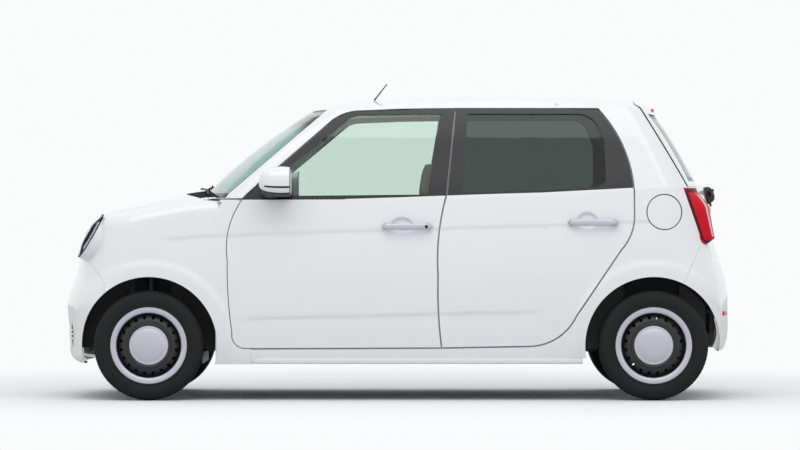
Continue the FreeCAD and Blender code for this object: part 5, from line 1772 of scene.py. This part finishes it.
# %% [markdown]
# ## Tailgate dressing and mouldings
# The tailgate gets a grip over the plate, a lamp above the glass, and red reflectors low
# on the bumper. The nose has no badge: its middle is left bare.

# %% Tailgate dressing


def tail_bar(name, low_y, high_y, steps, z, out, width, heights, material, around=14, power=5):
    """A level bar laid on the tail's surface, standing out from it a little."""
    skin = skin_of("tailgate", "rear_bumper", "tailgate_glass")
    path = []
    for y in np.linspace(low_y, high_y, steps):
        hit = skin.ray_cast(Vector((2.4, y, z)), Vector((-1, 0, 0)))[0]
        path.append(((hit.x if hit else REAR_HUB.x) + out, y, z))
    return sweep_bar(name, path, [width] * steps, heights, material, around, power=power)


grip_heights = [0.015] + [0.019] * 15 + [0.015]
garnish = tail_bar("tailgate_grip", -0.26, 0.26, 17, 0.955, 0.006, 0.012, grip_heights, PAINT, 18, 4)
stop_lamp = tail_bar("high_stop_lamp", -0.13, 0.13, 9, 1.462, 0.002, 0.008, [0.009] * 9, TAIL_RED)
for thing in (garnish, stop_lamp):
    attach(thing, "tailgate")
both_sides(tail_bar("reflector", -0.46, -0.35, 9, 0.430, 0.001, 0.005, [0.011] * 9, TAIL_RED))
print("tailgate and bumper dressed")

# %% [markdown]
# ## Slots
# A table gives the record's slot that each added finish stands for, and the added pieces
# whose main finish has a slot are counted.

# %% Slots
SLOT_OF = {
    PAINT: "paint", SASH: "black_plastic", BLACK: "black_plastic", GLOSS_BLACK: "black_plastic",
    SEAL: "black_plastic", RUBBER: "tyre", SATIN_BLACK_STEEL: "wheel_steel", SILVER: "alloy",
    CHROME: "alloy", MIRROR_GLASS: "alloy",
    FABRIC: "fabric", SEAT_TRIM: "fabric", DASH: "dash", LENS: "lamp", TAIL_RED: "tail_lamp",
    TAIL_EDGE: "tail_lamp",
}
named = 0
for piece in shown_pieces():
    main = piece.data.materials[0] if piece.data.materials else None
    if piece.name not in NODES and main in SLOT_OF:
        named += 1
print("pieces with a slot", named)

# %% [markdown]
# ## Floor and backdrop
# The floor is pale and dull, and keeps the car's soft shadow. Seen by the camera it is a
# little paler, and fades into the backdrop's colour away from the car, so that no horizon
# shows. Light that bounces off it, gloss and glass still meet the plain floor, which is
# why the fade asks whether a ray comes straight from the camera.

# %% Floor
BACKDROP = (0.955, 0.958, 0.965, 1)
FADE_FROM, FADE_TO = 2.0, 4.6
bpy.ops.mesh.primitive_plane_add(size=80)
floor = bpy.context.object
floor.name = "pale_floor"
floor_finish = finish("pale_floor", (206, 207, 209), 0.9, 0.004, 0.3)
wear(floor, floor_finish)
floor_tree = floor_finish.node_tree
dull = floor_tree.nodes["Principled BSDF"].outputs[0]
paler = added(floor_tree, "BsdfDiffuse", color=(0.22, 0.225, 0.235, 1))
near = added(floor_tree, "AddShader")
far = added(floor_tree, "Emission", color=BACKDROP)
distance = added(floor_tree, "VectorMath")
distance.operation = "LENGTH"
fading = added(floor_tree, "MapRange", from_min=FADE_FROM, from_max=FADE_TO)
fading.interpolation_type = "SMOOTHSTEP"
wire(floor_tree, (dull, near.inputs[0]), (paler.outputs[0], near.inputs[1]),
     (added(floor_tree, "TexCoord").outputs["Object"], distance.inputs[0]),
     (distance.outputs["Value"], fading.inputs["Value"]))
shown = mixed(floor_tree, fading.outputs[0], near.outputs[0], far.outputs[0])
by_camera = added(floor_tree, "LightPath").outputs["Is Camera Ray"]
floor_end = floor_tree.nodes["Material Output"].inputs["Surface"]
wire(floor_tree, (mixed(floor_tree, by_camera, dull, shown), floor_end))
print("the floor fades from", FADE_FROM, "to", FADE_TO, "m off")

# %% [markdown]
# ## Light
# A pale sky all round lights the car at a plain level, at which a colour comes out about
# as it is written. The camera, gloss and glass see the backdrop's colour instead. One big
# soft box high on the left draws the soft highlights along the flank.

# %% Sky and soft box
SKY_STRENGTH = 0.86
LIGHT_PLACE, LIGHT_AIM = Vector((0, -4.2, 5.8)), Vector((0, 0, 0.6))
LIGHT_SIZE = (8, 4)
LIGHT_WATTS = 140
world = bpy.data.worlds.new("pale_studio")
scene.world = world
world.use_nodes = True
sky = world.node_tree
set_sockets(sky.nodes["Background"], {"color": (1, 1, 1, 1), "strength": SKY_STRENGTH})
card = added(sky, "Background", color=BACKDROP, strength=1.0)
rays = added(sky, "LightPath").outputs
camera_or_gloss = reckoned(sky, "MAXIMUM", rays["Is Camera Ray"], rays["Is Glossy Ray"])
sees_card = reckoned(sky, "MAXIMUM", camera_or_gloss, rays["Is Transmission Ray"])
wire(sky, (mixed(sky, sees_card, sky.nodes["Background"].outputs[0], card.outputs[0]),
           sky.nodes["World Output"].inputs["Surface"]))
light = bpy.data.lights.new("high_soft_box", "AREA")
light.shape = "RECTANGLE"
light.size, light.size_y = LIGHT_SIZE
light.energy = LIGHT_WATTS
lamp = bpy.data.objects.new("high_soft_box", light)
lamp.location = LIGHT_PLACE
lamp.rotation_euler = (LIGHT_AIM - LIGHT_PLACE).to_track_quat("-Z", "Y").to_euler()
scene.collection.objects.link(lamp)
